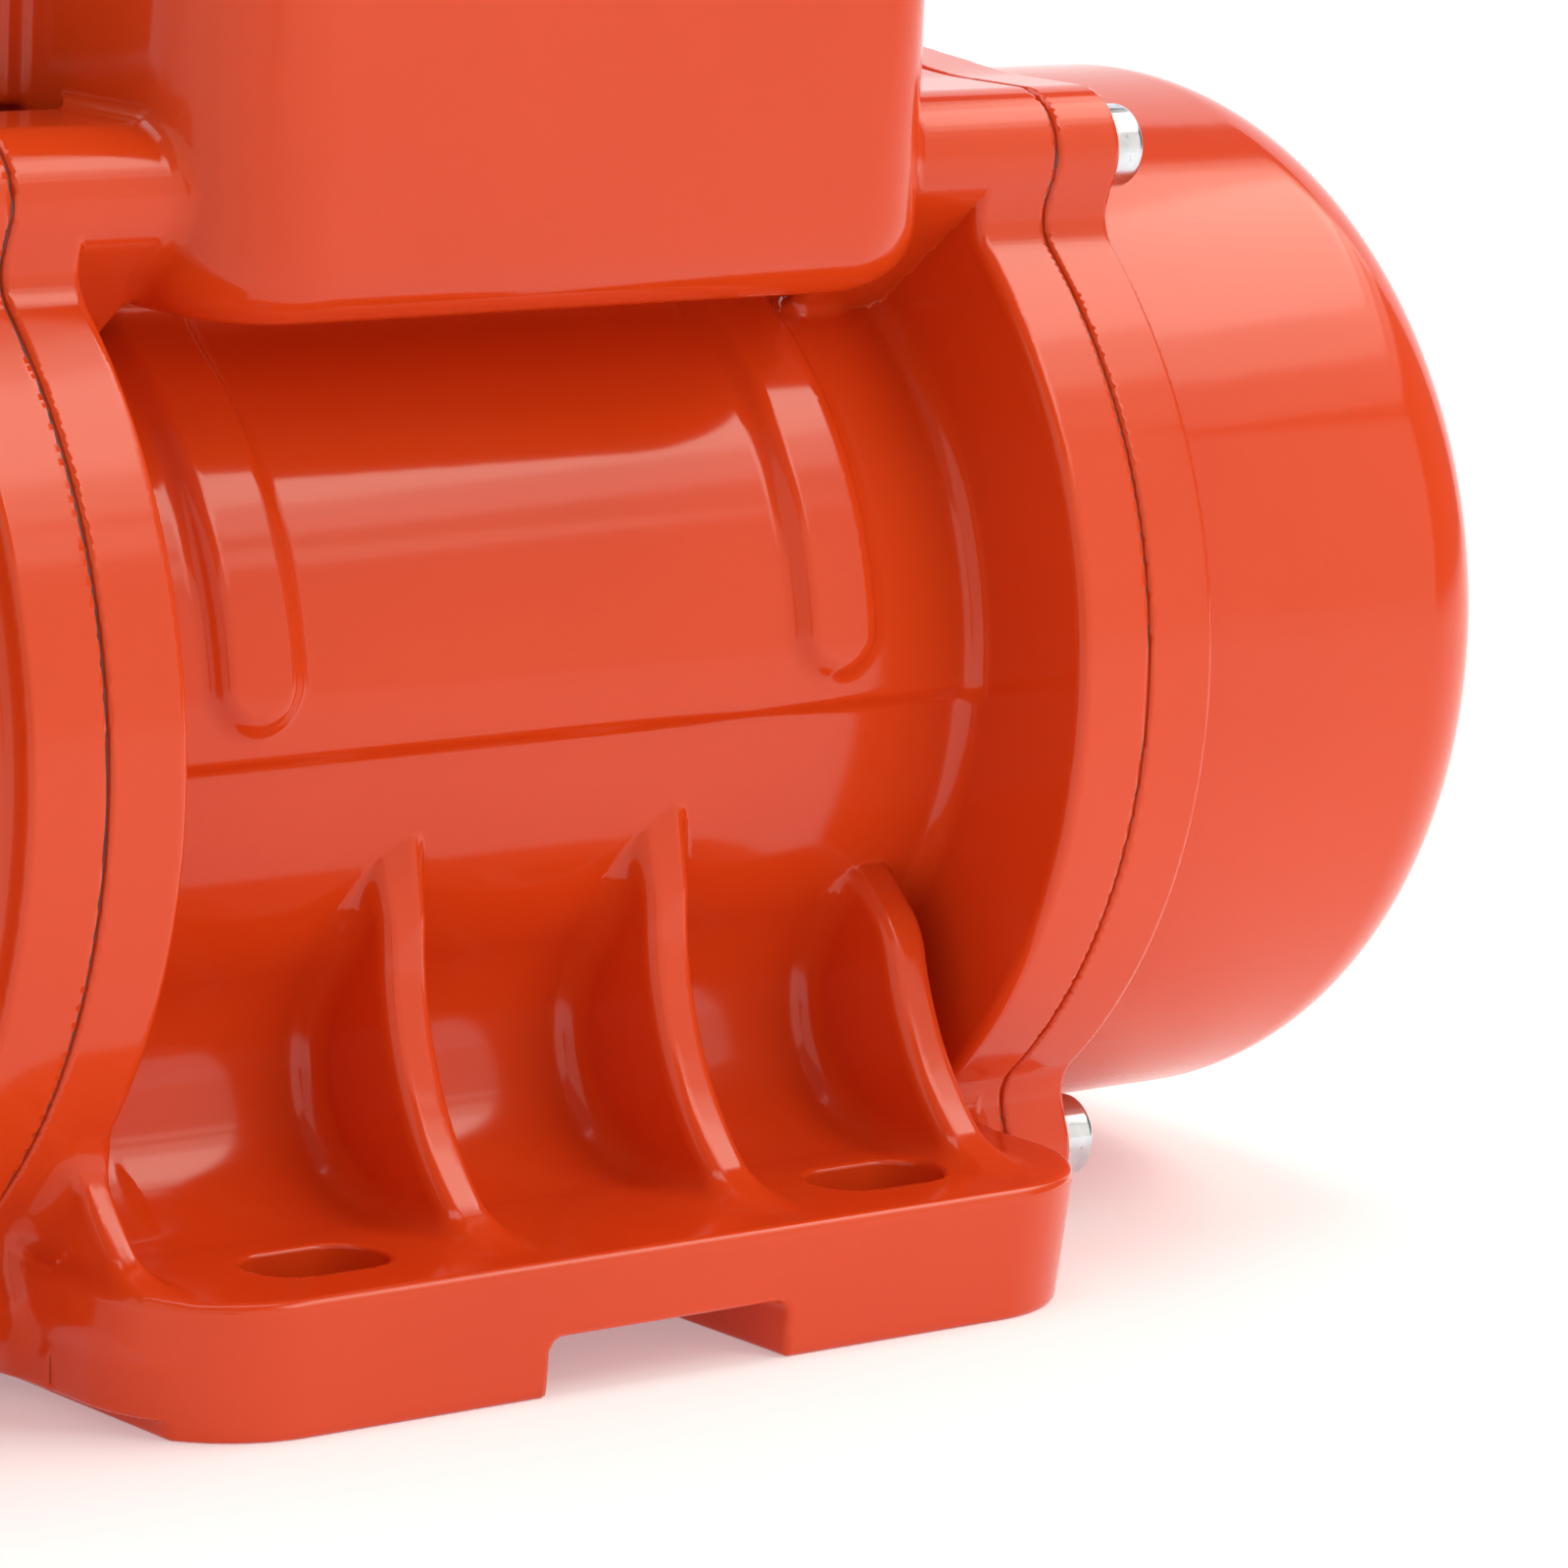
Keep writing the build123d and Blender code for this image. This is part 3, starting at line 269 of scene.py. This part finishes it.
# The other cast and turned pieces

def cover_field(X, Y, Z):
    """End cover of the +X side: lobed flange, deep cup, hollow, spigot, seal groove and holes."""
    ay, zc = np.abs(Y), Z - SHAFT_Z
    az = np.abs(zc)
    R = np.hypot(Y, zc)
    outline = flange_outline(R, ay, az)
    body = join(meet(outline, X - COVER_FACE, 0.8), meet(R - CUP_R, X - CUP_END, CUP_CORNER), 1.5)
    # The rim stands a little off the casing, which leaves the seam's fine dark line
    face = SEAM_X + SEAM_GAP * ramp(outline, -SEAM_GAP_DEPTH - 0.6, -SEAM_GAP_DEPTH)
    body = meet(body, face - X, 0.35)
    body = np.minimum(body, np.maximum(R - SPIGOT_R, np.maximum(SPIGOT_END - X, X - 66)))
    wide = np.maximum(R - CUP_R + CUP_WALL, CUP_FLOOR - X)
    room = meet(wide, X - CUP_END + CUP_WALL, CUP_CORNER - CUP_WALL)
    body = cut(body, np.minimum(room, np.maximum(R - SPIGOT_BORE, X - 70)), 0.4)
    body = np.maximum(body, -np.maximum(np.abs(R - GROOVE_R) - GROOVE_HALF, X - GROOVE_END))
    return np.maximum(body, SCREW_HOLE_R - np.hypot(ay - LOBE_Y, az - LOBE_Z))


def lid_field(X, Y, Z):
    """Lid of the terminal box, hollow around its screw pillars, with a counterbore for each screw."""
    body = meet(round_rect(X, Y, BOX_X, BOX_Y, BOX_R), Z - LID_TOP, 5.0)
    body = meet(body, LID_LOW - Z, 0.4)
    pillar = np.hypot(np.abs(X) - PILLAR_X, np.abs(Y) - PILLAR_Y)
    room = np.maximum(round_rect(X, Y, ROOM_X, ROOM_Y, ROOM_R), Z - LID_ROOM)
    body = cut(body, cut(room, pillar - PILLAR_R, 0.8), 0.5)
    body = cut(body, np.maximum(pillar - COUNTERBORE_R, LID_SEAT - Z), 0.4)
    return np.maximum(body, SCREW_HOLE_R - pillar)


def turned_nut(Y, zc, along, half, corner, edge):
    """Hexagon round the gland's axis, as long as twice the half, with its corners turned off."""
    nut = meet(hexagon(Y, zc, GLAND_HALF_FLATS), np.abs(along) - half, 0.3)
    steep, scale = CORNER_SLOPE
    return meet(nut, (np.hypot(Y, zc) + steep * np.abs(along) - corner) * scale, edge)


def gland_body_field(X, Y, Z):
    """Gland's body: hexagon, the thread in the casing's wall and the collar under the cap nut."""
    u, zc = -ENTRY_X - X, Z - ENTRY_Z
    r = np.hypot(Y, zc)
    nut = turned_nut(Y, zc, u - SOCKET_NUT, SOCKET_NUT, SOCKET_CORNER, 0.2)
    ridges = THREAD_DEPTH * np.abs(np.sin(u * math.pi / THREAD_PITCH))
    thread = meet(r - THREAD_R + ridges, -u - THREAD_LENGTH, 0.4)
    collar = meet(r - COLLAR_R, u - COLLAR_END, 0.3)
    body = np.minimum(np.minimum(nut, np.maximum(thread, u - 1)), np.maximum(collar, 1 - u))
    return cut(body, r - SOCKET_BORE, 0.2)


def gland_nut_field(X, Y, Z):
    """Gland's cap nut: hexagon with a domed end, a groove round the dome and the bore for the cord."""
    u, zc = -ENTRY_X - X, Z - ENTRY_Z
    r = np.hypot(Y, zc)
    nut = turned_nut(Y, zc, u - CAP_MIDDLE, CAP_HALF, CAP_CORNER, 0.3)
    dome = meet(meet(r - DOME_R, u - DOME_END, DOME_CORNER), CAP_MIDDLE - CAP_HALF - u, 0.3)
    body = join(nut, dome, 0.5)
    groove_r, groove_u, groove_radius = DOME_GROOVE
    body = cut(body, np.hypot(r - groove_r, u - groove_u) - groove_radius, 0.2)
    body = cut(body, np.maximum(r - CAP_THREAD_R, u - COLLAR_END), 0.2)
    return cut(body, r - CAP_BORE, 0.8)


# From a field to a mesh

def gradient(field, points, reach=0.01):
    out = np.empty_like(points)
    for k in range(3):
        step = np.zeros(3)
        step[k] = reach
        ahead, back = points + step, points - step
        out[:, k] = field(*ahead.T) - field(*back.T)
    return out / (2 * reach)


def settle(field, points, most, times):
    """Moves points onto the surface where the field is zero."""
    for _ in range(times):
        slope = gradient(field, points)
        move = field(*points.T) / np.maximum((slope * slope).sum(1), 0.2)
        points = points - slope * np.clip(move, -most, most)[:, None]
    return points


def vertex_array(mesh):
    co = np.empty(len(mesh.vertices) * 3)
    mesh.vertices.foreach_get("co", co)
    return co.reshape(-1, 3)


def thinned(name, points, quads, triangles):
    """Mesh of the points and quads, thinned to about so many triangles."""
    mesh = bpy.data.meshes.new(name)
    mesh.from_pydata(points.tolist(), [], quads[:, ::-1].tolist())
    mesh.update()
    holder = bpy.data.objects.new(name + "_fine", mesh)
    scene.collection.objects.link(holder)
    thin = holder.modifiers.new("thin", "DECIMATE")
    thin.ratio = min(1.0, triangles / (2 * len(quads)))
    bpy.context.view_layer.update()
    done = bpy.data.meshes.new_from_object(holder.evaluated_get(bpy.context.evaluated_depsgraph_get()))
    bpy.data.objects.remove(holder)
    return done


def field_mesh(name, field, low, high, step, triangles):
    """Points, faces and exact normals of a field's zero surface inside the box from low to high."""
    count = [int(math.ceil((b - a) / step)) + 3 for a, b in zip(low, high)]
    axes = [(a - step + step * np.arange(n)).astype(np.float32) for a, n in zip(low, count)]
    values = np.empty(count, np.float32)
    layers = 16
    for i in range(0, count[0], layers):
        slab = np.meshgrid(axes[0][i : i + layers], axes[1], axes[2], indexing="ij")
        values[i : i + layers] = field(*slab)
    band = 3 * step
    grid = openvdb.FloatGrid(band)
    grid.gridClass = openvdb.GridClass.LEVEL_SET
    grid.copyFromArray(np.clip(values, -band, band))
    points, quads = grid.convertToQuads(isovalue=0.0)
    points = points.astype(np.float64) * step + np.array([axis[0] for axis in axes])
    done = thinned(name, settle(field, points, 0.4 * step, 1), quads, triangles)
    points = settle(field, vertex_array(done), 0.3 * step, 2)
    normals = gradient(field, points)
    normals /= np.maximum(np.linalg.norm(normals, axis=1, keepdims=True), 1e-6)
    faces = [tuple(face.vertices) for face in done.polygons]
    bpy.data.meshes.remove(done)
    return points, faces, normals


def piece(name, points, faces, body, slot, normals=None, mirrored=False):
    """Makes a piece from points in millimetres; a mirrored one is turned over at the plane x = 0."""
    if mirrored:
        points = points * (-1, 1, 1)
        faces = [face[::-1] for face in faces]
        normals = None if normals is None else normals * (-1, 1, 1)
    mesh = bpy.data.meshes.new(name)
    mesh.from_pydata((points * MM).tolist(), [], faces)
    mesh.polygons.foreach_set("use_smooth", [True] * len(faces))
    mesh.update()
    if normals is None:
        mesh.set_sharp_from_angle(angle=math.radians(35))
    else:
        mesh.normals_split_custom_set_from_vertices(normals.tolist())
    mesh.materials.append(MATERIALS[slot])
    obj = bpy.data.objects.new(name, mesh)
    scene.collection.objects.link(obj)
    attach(obj, body)
    return obj


# Screws

def cap_screw(seat, normal, reach):
    """Points and faces of a socket-head cap screw: knurled head, hexagon socket and cut thread."""
    around = 96
    pitch, crest, depth, per_turn = 0.8, 2.42, 0.42, 4
    angle = np.arange(around) * 2 * math.pi / around
    flats = SCREW * 0.4 / np.cos((angle + math.pi / 6) % (math.pi / 3) - math.pi / 6)
    knurl = HEAD_R * (1 + 0.003 * np.sign(np.sin(angle * 24)))
    # Rings of the outside and the socket, each a height above the seat and a radius
    rings = [(-reach, 1.4), (-reach + 0.6, 2.0)]
    for k in range(int((reach - 1.4) / pitch * per_turn)):
        phase = (k / per_turn + angle / (2 * math.pi)) % 1
        rings.append((-reach + 0.9 + k * pitch / per_turn, crest - depth * np.abs(2 * phase - 1)))
    rings += [(-0.35, crest), (0.0, crest), (0.0, HEAD_R - 0.35), (0.12, HEAD_R - 0.08), (0.4, HEAD_R)]
    rings += [(0.9, HEAD_R), (1.1, knurl), (4.0, knurl), (4.2, HEAD_R), (4.45, HEAD_R)]
    rings += [(4.72, HEAD_R - 0.1), (4.92, HEAD_R - 0.32), (SCREW, HEAD_R - 0.6), (SCREW, 2.75)]
    rings += [(4.8, 2.45), (4.7, flats), (2.6, flats), (2.5, flats * 0.97)]
    across = Vector(normal).orthogonal().normalized()
    side = Vector(normal).cross(across)
    spokes = np.outer(np.cos(angle), across) + np.outer(np.sin(angle), side)
    seat, normal = np.array(seat), np.array(normal)
    points = [seat + normal * h + spokes * np.broadcast_to(r, around)[:, None] for h, r in rings]
    # One point closes the shank's end, one the socket's floor
    points += [[seat - normal * (reach + 0.05)], [seat + normal * 2.1]]
    last = (len(rings) - 1) * around
    faces = []
    for k in range(around):
        n = (k + 1) % around
        for row in range(0, last, around):
            faces.append((row + k, row + n, row + around + n, row + around + k))
        faces.append((last + around, n, k))
        faces.append((last + k, last + n, last + around + 1))
    return np.concatenate(points), faces


def screws(seats, normal, reach):
    points, faces, start = [], [], 0
    for seat in seats:
        more, around = cap_screw(seat, normal, reach)
        points.append(more)
        faces += [tuple(v + start for v in face) for face in around]
        start += len(more)
    return np.concatenate(points), faces


# Materials

class Surface:
    """A material whose colour, roughness and relief come from procedural textures."""

    def __init__(self, name, dark, light, scale, rough, metallic=0.0):
        self.material = bpy.data.materials.new(name)
        self.material.use_nodes = True
        self.tree = self.material.node_tree
        self.shader = self.tree.nodes["Principled BSDF"]
        self.shader.inputs["Metallic"].default_value = metallic
        self.where = self.tree.nodes.new("ShaderNodeTexCoord").outputs["Object"]
        self.tone = self.noise(scale, 4)
        self.colour = self.colours(self.tone, dark, light, 0.35, 0.65)
        self.rough = self.between(self.tone, *rough)
        self.normal = None

    def link(self, source, target):
        self.tree.links.new(source, target)

    def noise(self, scale, detail, stretch=None):
        node = self.tree.nodes.new("ShaderNodeTexNoise")
        node.inputs["Scale"].default_value = scale
        node.inputs["Detail"].default_value = detail
        self.link(self.stretched(stretch), node.inputs["Vector"])
        return node.outputs["Fac"]

    def stretched(self, stretch):
        if not stretch:
            return self.where
        node = self.tree.nodes.new("ShaderNodeMapping")
        node.inputs["Scale"].default_value = stretch
        self.link(self.where, node.inputs["Vector"])
        return node.outputs["Vector"]

    def colours(self, value, dark, light, start, end):
        node = self.tree.nodes.new("ShaderNodeValToRGB")
        for element, colour, place in zip(node.color_ramp.elements, (dark, light), (start, end)):
            element.color, element.position = (*colour, 1), place
        self.link(value, node.inputs["Fac"])
        return node.outputs["Color"]

    def between(self, value, low, high, start=0.3, end=0.7):
        node = self.tree.nodes.new("ShaderNodeMapRange")
        for key, number in zip(("From Min", "From Max", "To Min", "To Max"), (start, end, low, high)):
            node.inputs[key].default_value = number
        self.link(value, node.inputs["Value"])
        return node.outputs["Result"]

    def mix(self, value, colour, rough):
        """Where the value is 1 the surface turns to another colour and roughness."""
        node = self.tree.nodes.new("ShaderNodeMix")
        node.data_type = "RGBA"
        self.link(value, node.inputs["Factor"])
        self.link(self.colour, node.inputs[6])
        self.link(colour, node.inputs[7])
        self.colour = node.outputs[2]
        node = self.tree.nodes.new("ShaderNodeMix")
        self.link(value, node.inputs["Factor"])
        self.link(self.rough, node.inputs[2])
        node.inputs[3].default_value = rough
        self.rough = node.outputs[0]

    def relief(self, value, strength, distance):
        node = self.tree.nodes.new("ShaderNodeBump")
        node.inputs["Strength"].default_value = strength
        node.inputs["Distance"].default_value = distance
        self.link(value, node.inputs["Height"])
        if self.normal:
            self.link(self.normal, node.inputs["Normal"])
        self.normal = node.outputs["Normal"]

    def done(self):
        self.link(self.colour, self.shader.inputs["Base Color"])
        self.link(self.rough, self.shader.inputs["Roughness"])
        self.link(self.normal, self.shader.inputs["Normal"])
        return self.material


def powder_coat():
    coat = Surface("orange_coat", (0.63, 0.050, 0.0060), (0.68, 0.057, 0.0082), 14, (0.09, 0.15))
    coat.relief(coat.noise(330, 2), 0.03, 0.0003)
    coat.shader.inputs["Specular IOR Level"].default_value = 0.38
    return coat.done()


def zinc_plate():
    """Bright plating with a few dull stains."""
    zinc = Surface("zinc_plate", (0.54, 0.57, 0.62), (0.72, 0.74, 0.78), 260, (0.14, 0.24), 1.0)
    stains = zinc.between(zinc.noise(900, 3), 0, 1, 0.64, 0.80)
    zinc.mix(stains, zinc.colours(stains, (0.40, 0.42, 0.44), (0.28, 0.29, 0.32), 0.2, 0.8), 0.42)
    zinc.relief(zinc.noise(1600, 2), 0.05, 0.0001)
    return zinc.done()


def metal(name, dark, light, rough, scale, stretch=None, strength=0.2):
    """Worked metal, with tool marks drawn out along one direction where a stretch is given."""
    surface = Surface(name, dark, light, scale, rough, 1.0)
    surface.relief(surface.noise(scale * 3, 2, stretch), strength, 0.0001)
    return surface.done()


def rubber(name, dark, light):
    surface = Surface(name, dark, light, 90, (0.55, 0.75))
    surface.relief(surface.noise(900, 3), 0.25, 0.0002)
    return surface.done()


def laminations():
    """Stacked sheets: fine lines across the shaft's direction."""
    surface = Surface("lamination_stack", (0.20, 0.21, 0.23), (0.34, 0.35, 0.37), 60, (0.35, 0.55), 1.0)
    node = surface.tree.nodes.new("ShaderNodeTexWave")
    node.bands_direction = "X"
    node.inputs["Scale"].default_value = 320
    node.inputs["Distortion"].default_value = 0.4
    surface.link(surface.where, node.inputs["Vector"])
    surface.relief(node.outputs["Fac"], 0.5, 0.0002)
    return surface.done()


# Painted shade: a dark reddish brown for the ring that darkens each seam's gap
def seam_shade_colour():
    surface = Surface("painted_seam_shade", (0.085, 0.022, 0.016), (0.15, 0.045, 0.035), 240, (0.40, 0.60))
    surface.relief(surface.noise(1200, 3), 0.4, 0.0002)
    return surface.done()


def winding():
    """Varnished wire: strands that run along the shaft's direction."""
    surface = Surface("varnished_winding", (0.30, 0.07, 0.02), (0.50, 0.15, 0.05), 70, (0.22, 0.40), 0.75)
    surface.relief(surface.noise(800, 2, (0.05, 1, 1)), 0.6, 0.0005)
    return surface.done()


NICKEL = (0.50, 0.48, 0.43), (0.66, 0.63, 0.57), (0.20, 0.34)
TURNED_BRASS = (0.62, 0.42, 0.15), (0.76, 0.56, 0.24), (0.22, 0.38)
ALUMINIUM = (0.52, 0.52, 0.53), (0.70, 0.70, 0.71), (0.38, 0.60)
IRON = (0.16, 0.16, 0.165), (0.28, 0.28, 0.285), (0.42, 0.65)
PRESSED_BRASS = (0.58, 0.38, 0.13), (0.72, 0.52, 0.22), (0.25, 0.42)
STEEL = (0.50, 0.50, 0.52), (0.64, 0.64, 0.66), (0.14, 0.26)
SEAM_SHADE_MATERIAL = seam_shade_colour()
MATERIALS = {
    "coated_casting": powder_coat(),
    "zinc_steel": zinc_plate(),
    "black_rubber": rubber("seal_rubber", (0.012, 0.012, 0.012), (0.025, 0.025, 0.024)),
    "nickel_brass": metal("nickel_plate", *NICKEL, 180, (1, 6, 6)),
    "bare_brass": metal("turned_brass", *TURNED_BRASS, 160, (1, 6, 6)),
    "moulded_block": rubber("moulded_thermoset", (0.030, 0.026, 0.022), (0.055, 0.047, 0.040)),
    "lamination_steel": laminations(),
    "enamelled_copper": winding(),
    "cast_cage": metal("cast_aluminium", *ALUMINIUM, 140, strength=0.5),
    "grey_iron": metal("grey_iron", *IRON, 110, strength=0.5),
    "cage_brass": metal("pressed_brass", *PRESSED_BRASS, 150),
    "ground_steel": metal("ground_steel", *STEEL, 200, (1, 12, 12)),
}


# Pieces

def seam_shade_ring():
    """Dark ring that paints the shade in the seam's gap, a little below the rims and with two small nicks."""
    around = 1440
    angle = np.arange(around) * 2 * math.pi / around
    c, s = np.abs(np.cos(angle)), np.abs(np.sin(angle))
    # The rim's radius at each angle, found by halving
    near, far = np.full(around, 45.0), np.full(around, 75.0)
    for _ in range(30):
        middle = (near + far) / 2
        inside = flange_outline(middle, middle * c, middle * s) < -SHADE_RING_SINK
        near, far = np.where(inside, middle, near), np.where(inside, far, middle)
    nicks = sum(np.exp(-(((angle - math.radians(at)) / math.radians(wide)) ** 2)) for at, wide in NICKS)
    rim, root = near + NICK_RISE * nicks, near - SHADE_RING_DEPTH
    points = []
    for x, r in ((0.0, rim), (SHADE_RING_THICK, rim), (SHADE_RING_THICK, root), (0.0, root)):
        row = np.full(around, SEAM_X + x), r * np.cos(angle), SHAFT_Z + r * np.sin(angle)
        points.append(np.stack(row, 1))
    faces = []
    for k in range(around):
        m = (k + 1) % around
        for row in range(4):
            a, b = row * around, (row + 1) % 4 * around
            faces.append((a + k, b + k, b + m, a + m))
    return np.concatenate(points), faces


def make_casing():
    low, high = (-63, -66, -0.5), (63, 66, 147)
    casting = field_mesh("casting", casing_field, low, high, 0.6, 190000)
    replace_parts(piece("casting", *casting[:2], "motor", "coated_casting", casting[2]), "motor_casing")


def make_covers():
    low, high = (59.5, -59.5, 1.5), (117.5, 59.5, 119.5)
    cover = field_mesh("cover", cover_field, low, high, 0.6, 170000)
    seats = [(COVER_FACE, y, SHAFT_Z + z) for y in (-LOBE_Y, LOBE_Y) for z in (-LOBE_Z, LOBE_Z)]
    for side in ("right", "left"):
        left = side == "left"
        cap = piece("cover_" + side, *cover[:2], "motor", "coated_casting", cover[2], left)
        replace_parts(cap, "end_cover_" + side)
        bolts = screws(seats, (1, 0, 0), 17.7)
        bolts = piece("cover_bolts_" + side, *bolts, "motor", "zinc_steel", None, left)
        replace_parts(bolts, "cover_screws_" + side)
        # Painted shade: a dark ring sunk in each seam's gap
        ring_of_shade = piece("seam_shade_ring_" + side, *seam_shade_ring(), "motor", "black_rubber", None, left)
        ring_of_shade.data.materials[0] = SEAM_SHADE_MATERIAL


def make_lid():
    lid = field_mesh("lid", lid_field, (-45, -49, 147), (45, 49, 160), 0.5, 90000)
    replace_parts(piece("lid", *lid[:2], "motor", "coated_casting", lid[2]), "terminal_lid")
    seats = [(x, y, LID_SEAT) for x in (-PILLAR_X, PILLAR_X) for y in (-PILLAR_Y, PILLAR_Y)]
    bolts = screws(seats, (0, 0, 1), 20.1)
    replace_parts(piece("lid_bolts", *bolts, "motor", "zinc_steel"), "lid_screws")


def make_gland():
    low, high = (-61.5, -14.5, 120.5), (-39, 14.5, 146.5)
    socket = field_mesh("gland_socket", gland_body_field, low, high, 0.3, 60000)
    socket = piece("gland_socket", *socket[:2], "motor", "nickel_brass", socket[2])
    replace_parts(socket, "gland_body")
    low, high = (-70.5, -14.5, 120.5), (-53, 14.5, 146.5)
    cap = field_mesh("gland_cap", gland_nut_field, low, high, 0.3, 60000)
    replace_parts(piece("gland_cap", *cap[:2], "motor", "nickel_brass", cap[2]), "gland_nut")


def dress_nodes():
    """Gives the CAD nodes the material of their slot."""
    slots = {part["node"]: part["material_slot"] for part in frame["record"]["subparts"]}
    for name, node in frame["nodes"].items():
        node.data.materials.clear()
        node.data.materials.append(MATERIALS[slots[name]])


# Camera, solved from the photograph: its heading from +Y toward +X, its dip and roll in degrees, its focal
# length in millimetres for a sensor of 36 mm, and its place in metres
CAMERA_TURN, CAMERA_DIP, CAMERA_ROLL = 39.51, 10.78, 2.44
CAMERA_LENS, CAMERA_SENSOR = 179.8, 36
CAMERA_PLACE = (-0.453519, -0.627609, 0.195835)


def camera():
    turn, dip, roll = math.radians(CAMERA_TURN), math.radians(CAMERA_DIP), math.radians(CAMERA_ROLL)
    ahead = Vector((math.sin(turn) * math.cos(dip), math.cos(turn) * math.cos(dip), -math.sin(dip)))
    right = Vector((math.cos(turn), -math.sin(turn), 0))
    up = right.cross(ahead)
    c, s = math.cos(roll), math.sin(roll)
    right, up = c * right + s * up, c * up - s * right
    data = bpy.data.cameras.new("camera")
    data.sensor_width = CAMERA_SENSOR
    data.lens = CAMERA_LENS
    obj = bpy.data.objects.new("camera", data)
    matrix = Matrix((right, up, -ahead)).transposed().to_4x4()
    matrix.translation = CAMERA_PLACE
    obj.matrix_world = matrix
    scene.collection.objects.link(obj)
    scene.camera = obj


# Floor and light

WARM, WHITE = (1.0, 0.92, 0.80), (1.0, 1.0, 1.0)
AIM = (0, 0, 0.08)
# Softboxes aimed at the motor: direction from it in degrees (round from +X, and up), distance, width and
# height in metres, power in watts and colour. The key is three boxes, one in the other, for soft edges.
LAMPS = (
    ("key_wide", -28, 44, 1.37, 1.9, 0.76, 6.0, WARM),
    ("key", -28, 45, 1.35, 1.7, 0.50, 4.2, WARM),
    ("key_core", -28, 46, 1.33, 1.5, 0.28, 2.6, WARM),
    ("rim", 50, 17, 1.7, 2.8, 1.2, 10, WHITE),
    ("top", 90, 78, 1.4, 1.3, 1.3, 12, WHITE),
    ("front", -75, 14, 1.5, 2.2, 1.0, 7, WARM),
    ("left", -155, 18, 1.5, 2.2, 1.2, 6, WARM),
)


def background():
    scene.view_settings.view_transform = "Standard"
    world = bpy.data.worlds.new("studio")
    scene.world = world
    world.use_nodes = True
    world.node_tree.nodes["Background"].inputs["Color"].default_value = (0.95, 0.97, 1, 1)
    world.node_tree.nodes["Background"].inputs["Strength"].default_value = 0.2


def floor():
    size = 4.0
    mesh = bpy.data.meshes.new("floor")
    corners = [(-size, -size, 0), (size, -size, 0), (size, size, 0), (-size, size, 0)]
    mesh.from_pydata(corners, [], [(0, 1, 2, 3)])
    obj = bpy.data.objects.new("floor", mesh)
    scene.collection.objects.link(obj)
    paper = Surface("pale_floor", (0.84, 0.84, 0.84), (0.86, 0.86, 0.86), 3, (0.6, 0.7))
    paper.relief(paper.noise(200, 2), 0.05, 0.0002)
    paper.shader.inputs["Emission Color"].default_value = (0.88, 0.94, 1, 1)
    paper.shader.inputs["Emission Strength"].default_value = 0.3
    mesh.materials.append(paper.done())


def lights():
    for name, turn, rise, far, wide, high, power, colour in LAMPS:
        turn, rise = math.radians(turn), math.radians(rise)
        away = Vector((math.cos(rise) * math.cos(turn), math.cos(rise) * math.sin(turn), math.sin(rise)))
        data = bpy.data.lights.new(name, "AREA")
        data.shape, data.size, data.size_y, data.energy = "RECTANGLE", wide, high, power
        data.color = colour
        lamp = bpy.data.objects.new(name, data)
        scene.collection.objects.link(lamp)
        lamp.visible_camera = False
        lamp.location = Vector(AIM) + away * far
        lamp.rotation_mode = "QUATERNION"
        lamp.rotation_quaternion = away.to_track_quat("Z", "Y")


camera()
background()
floor()
lights()
make_casing()
make_covers()
make_lid()
make_gland()
dress_nodes()
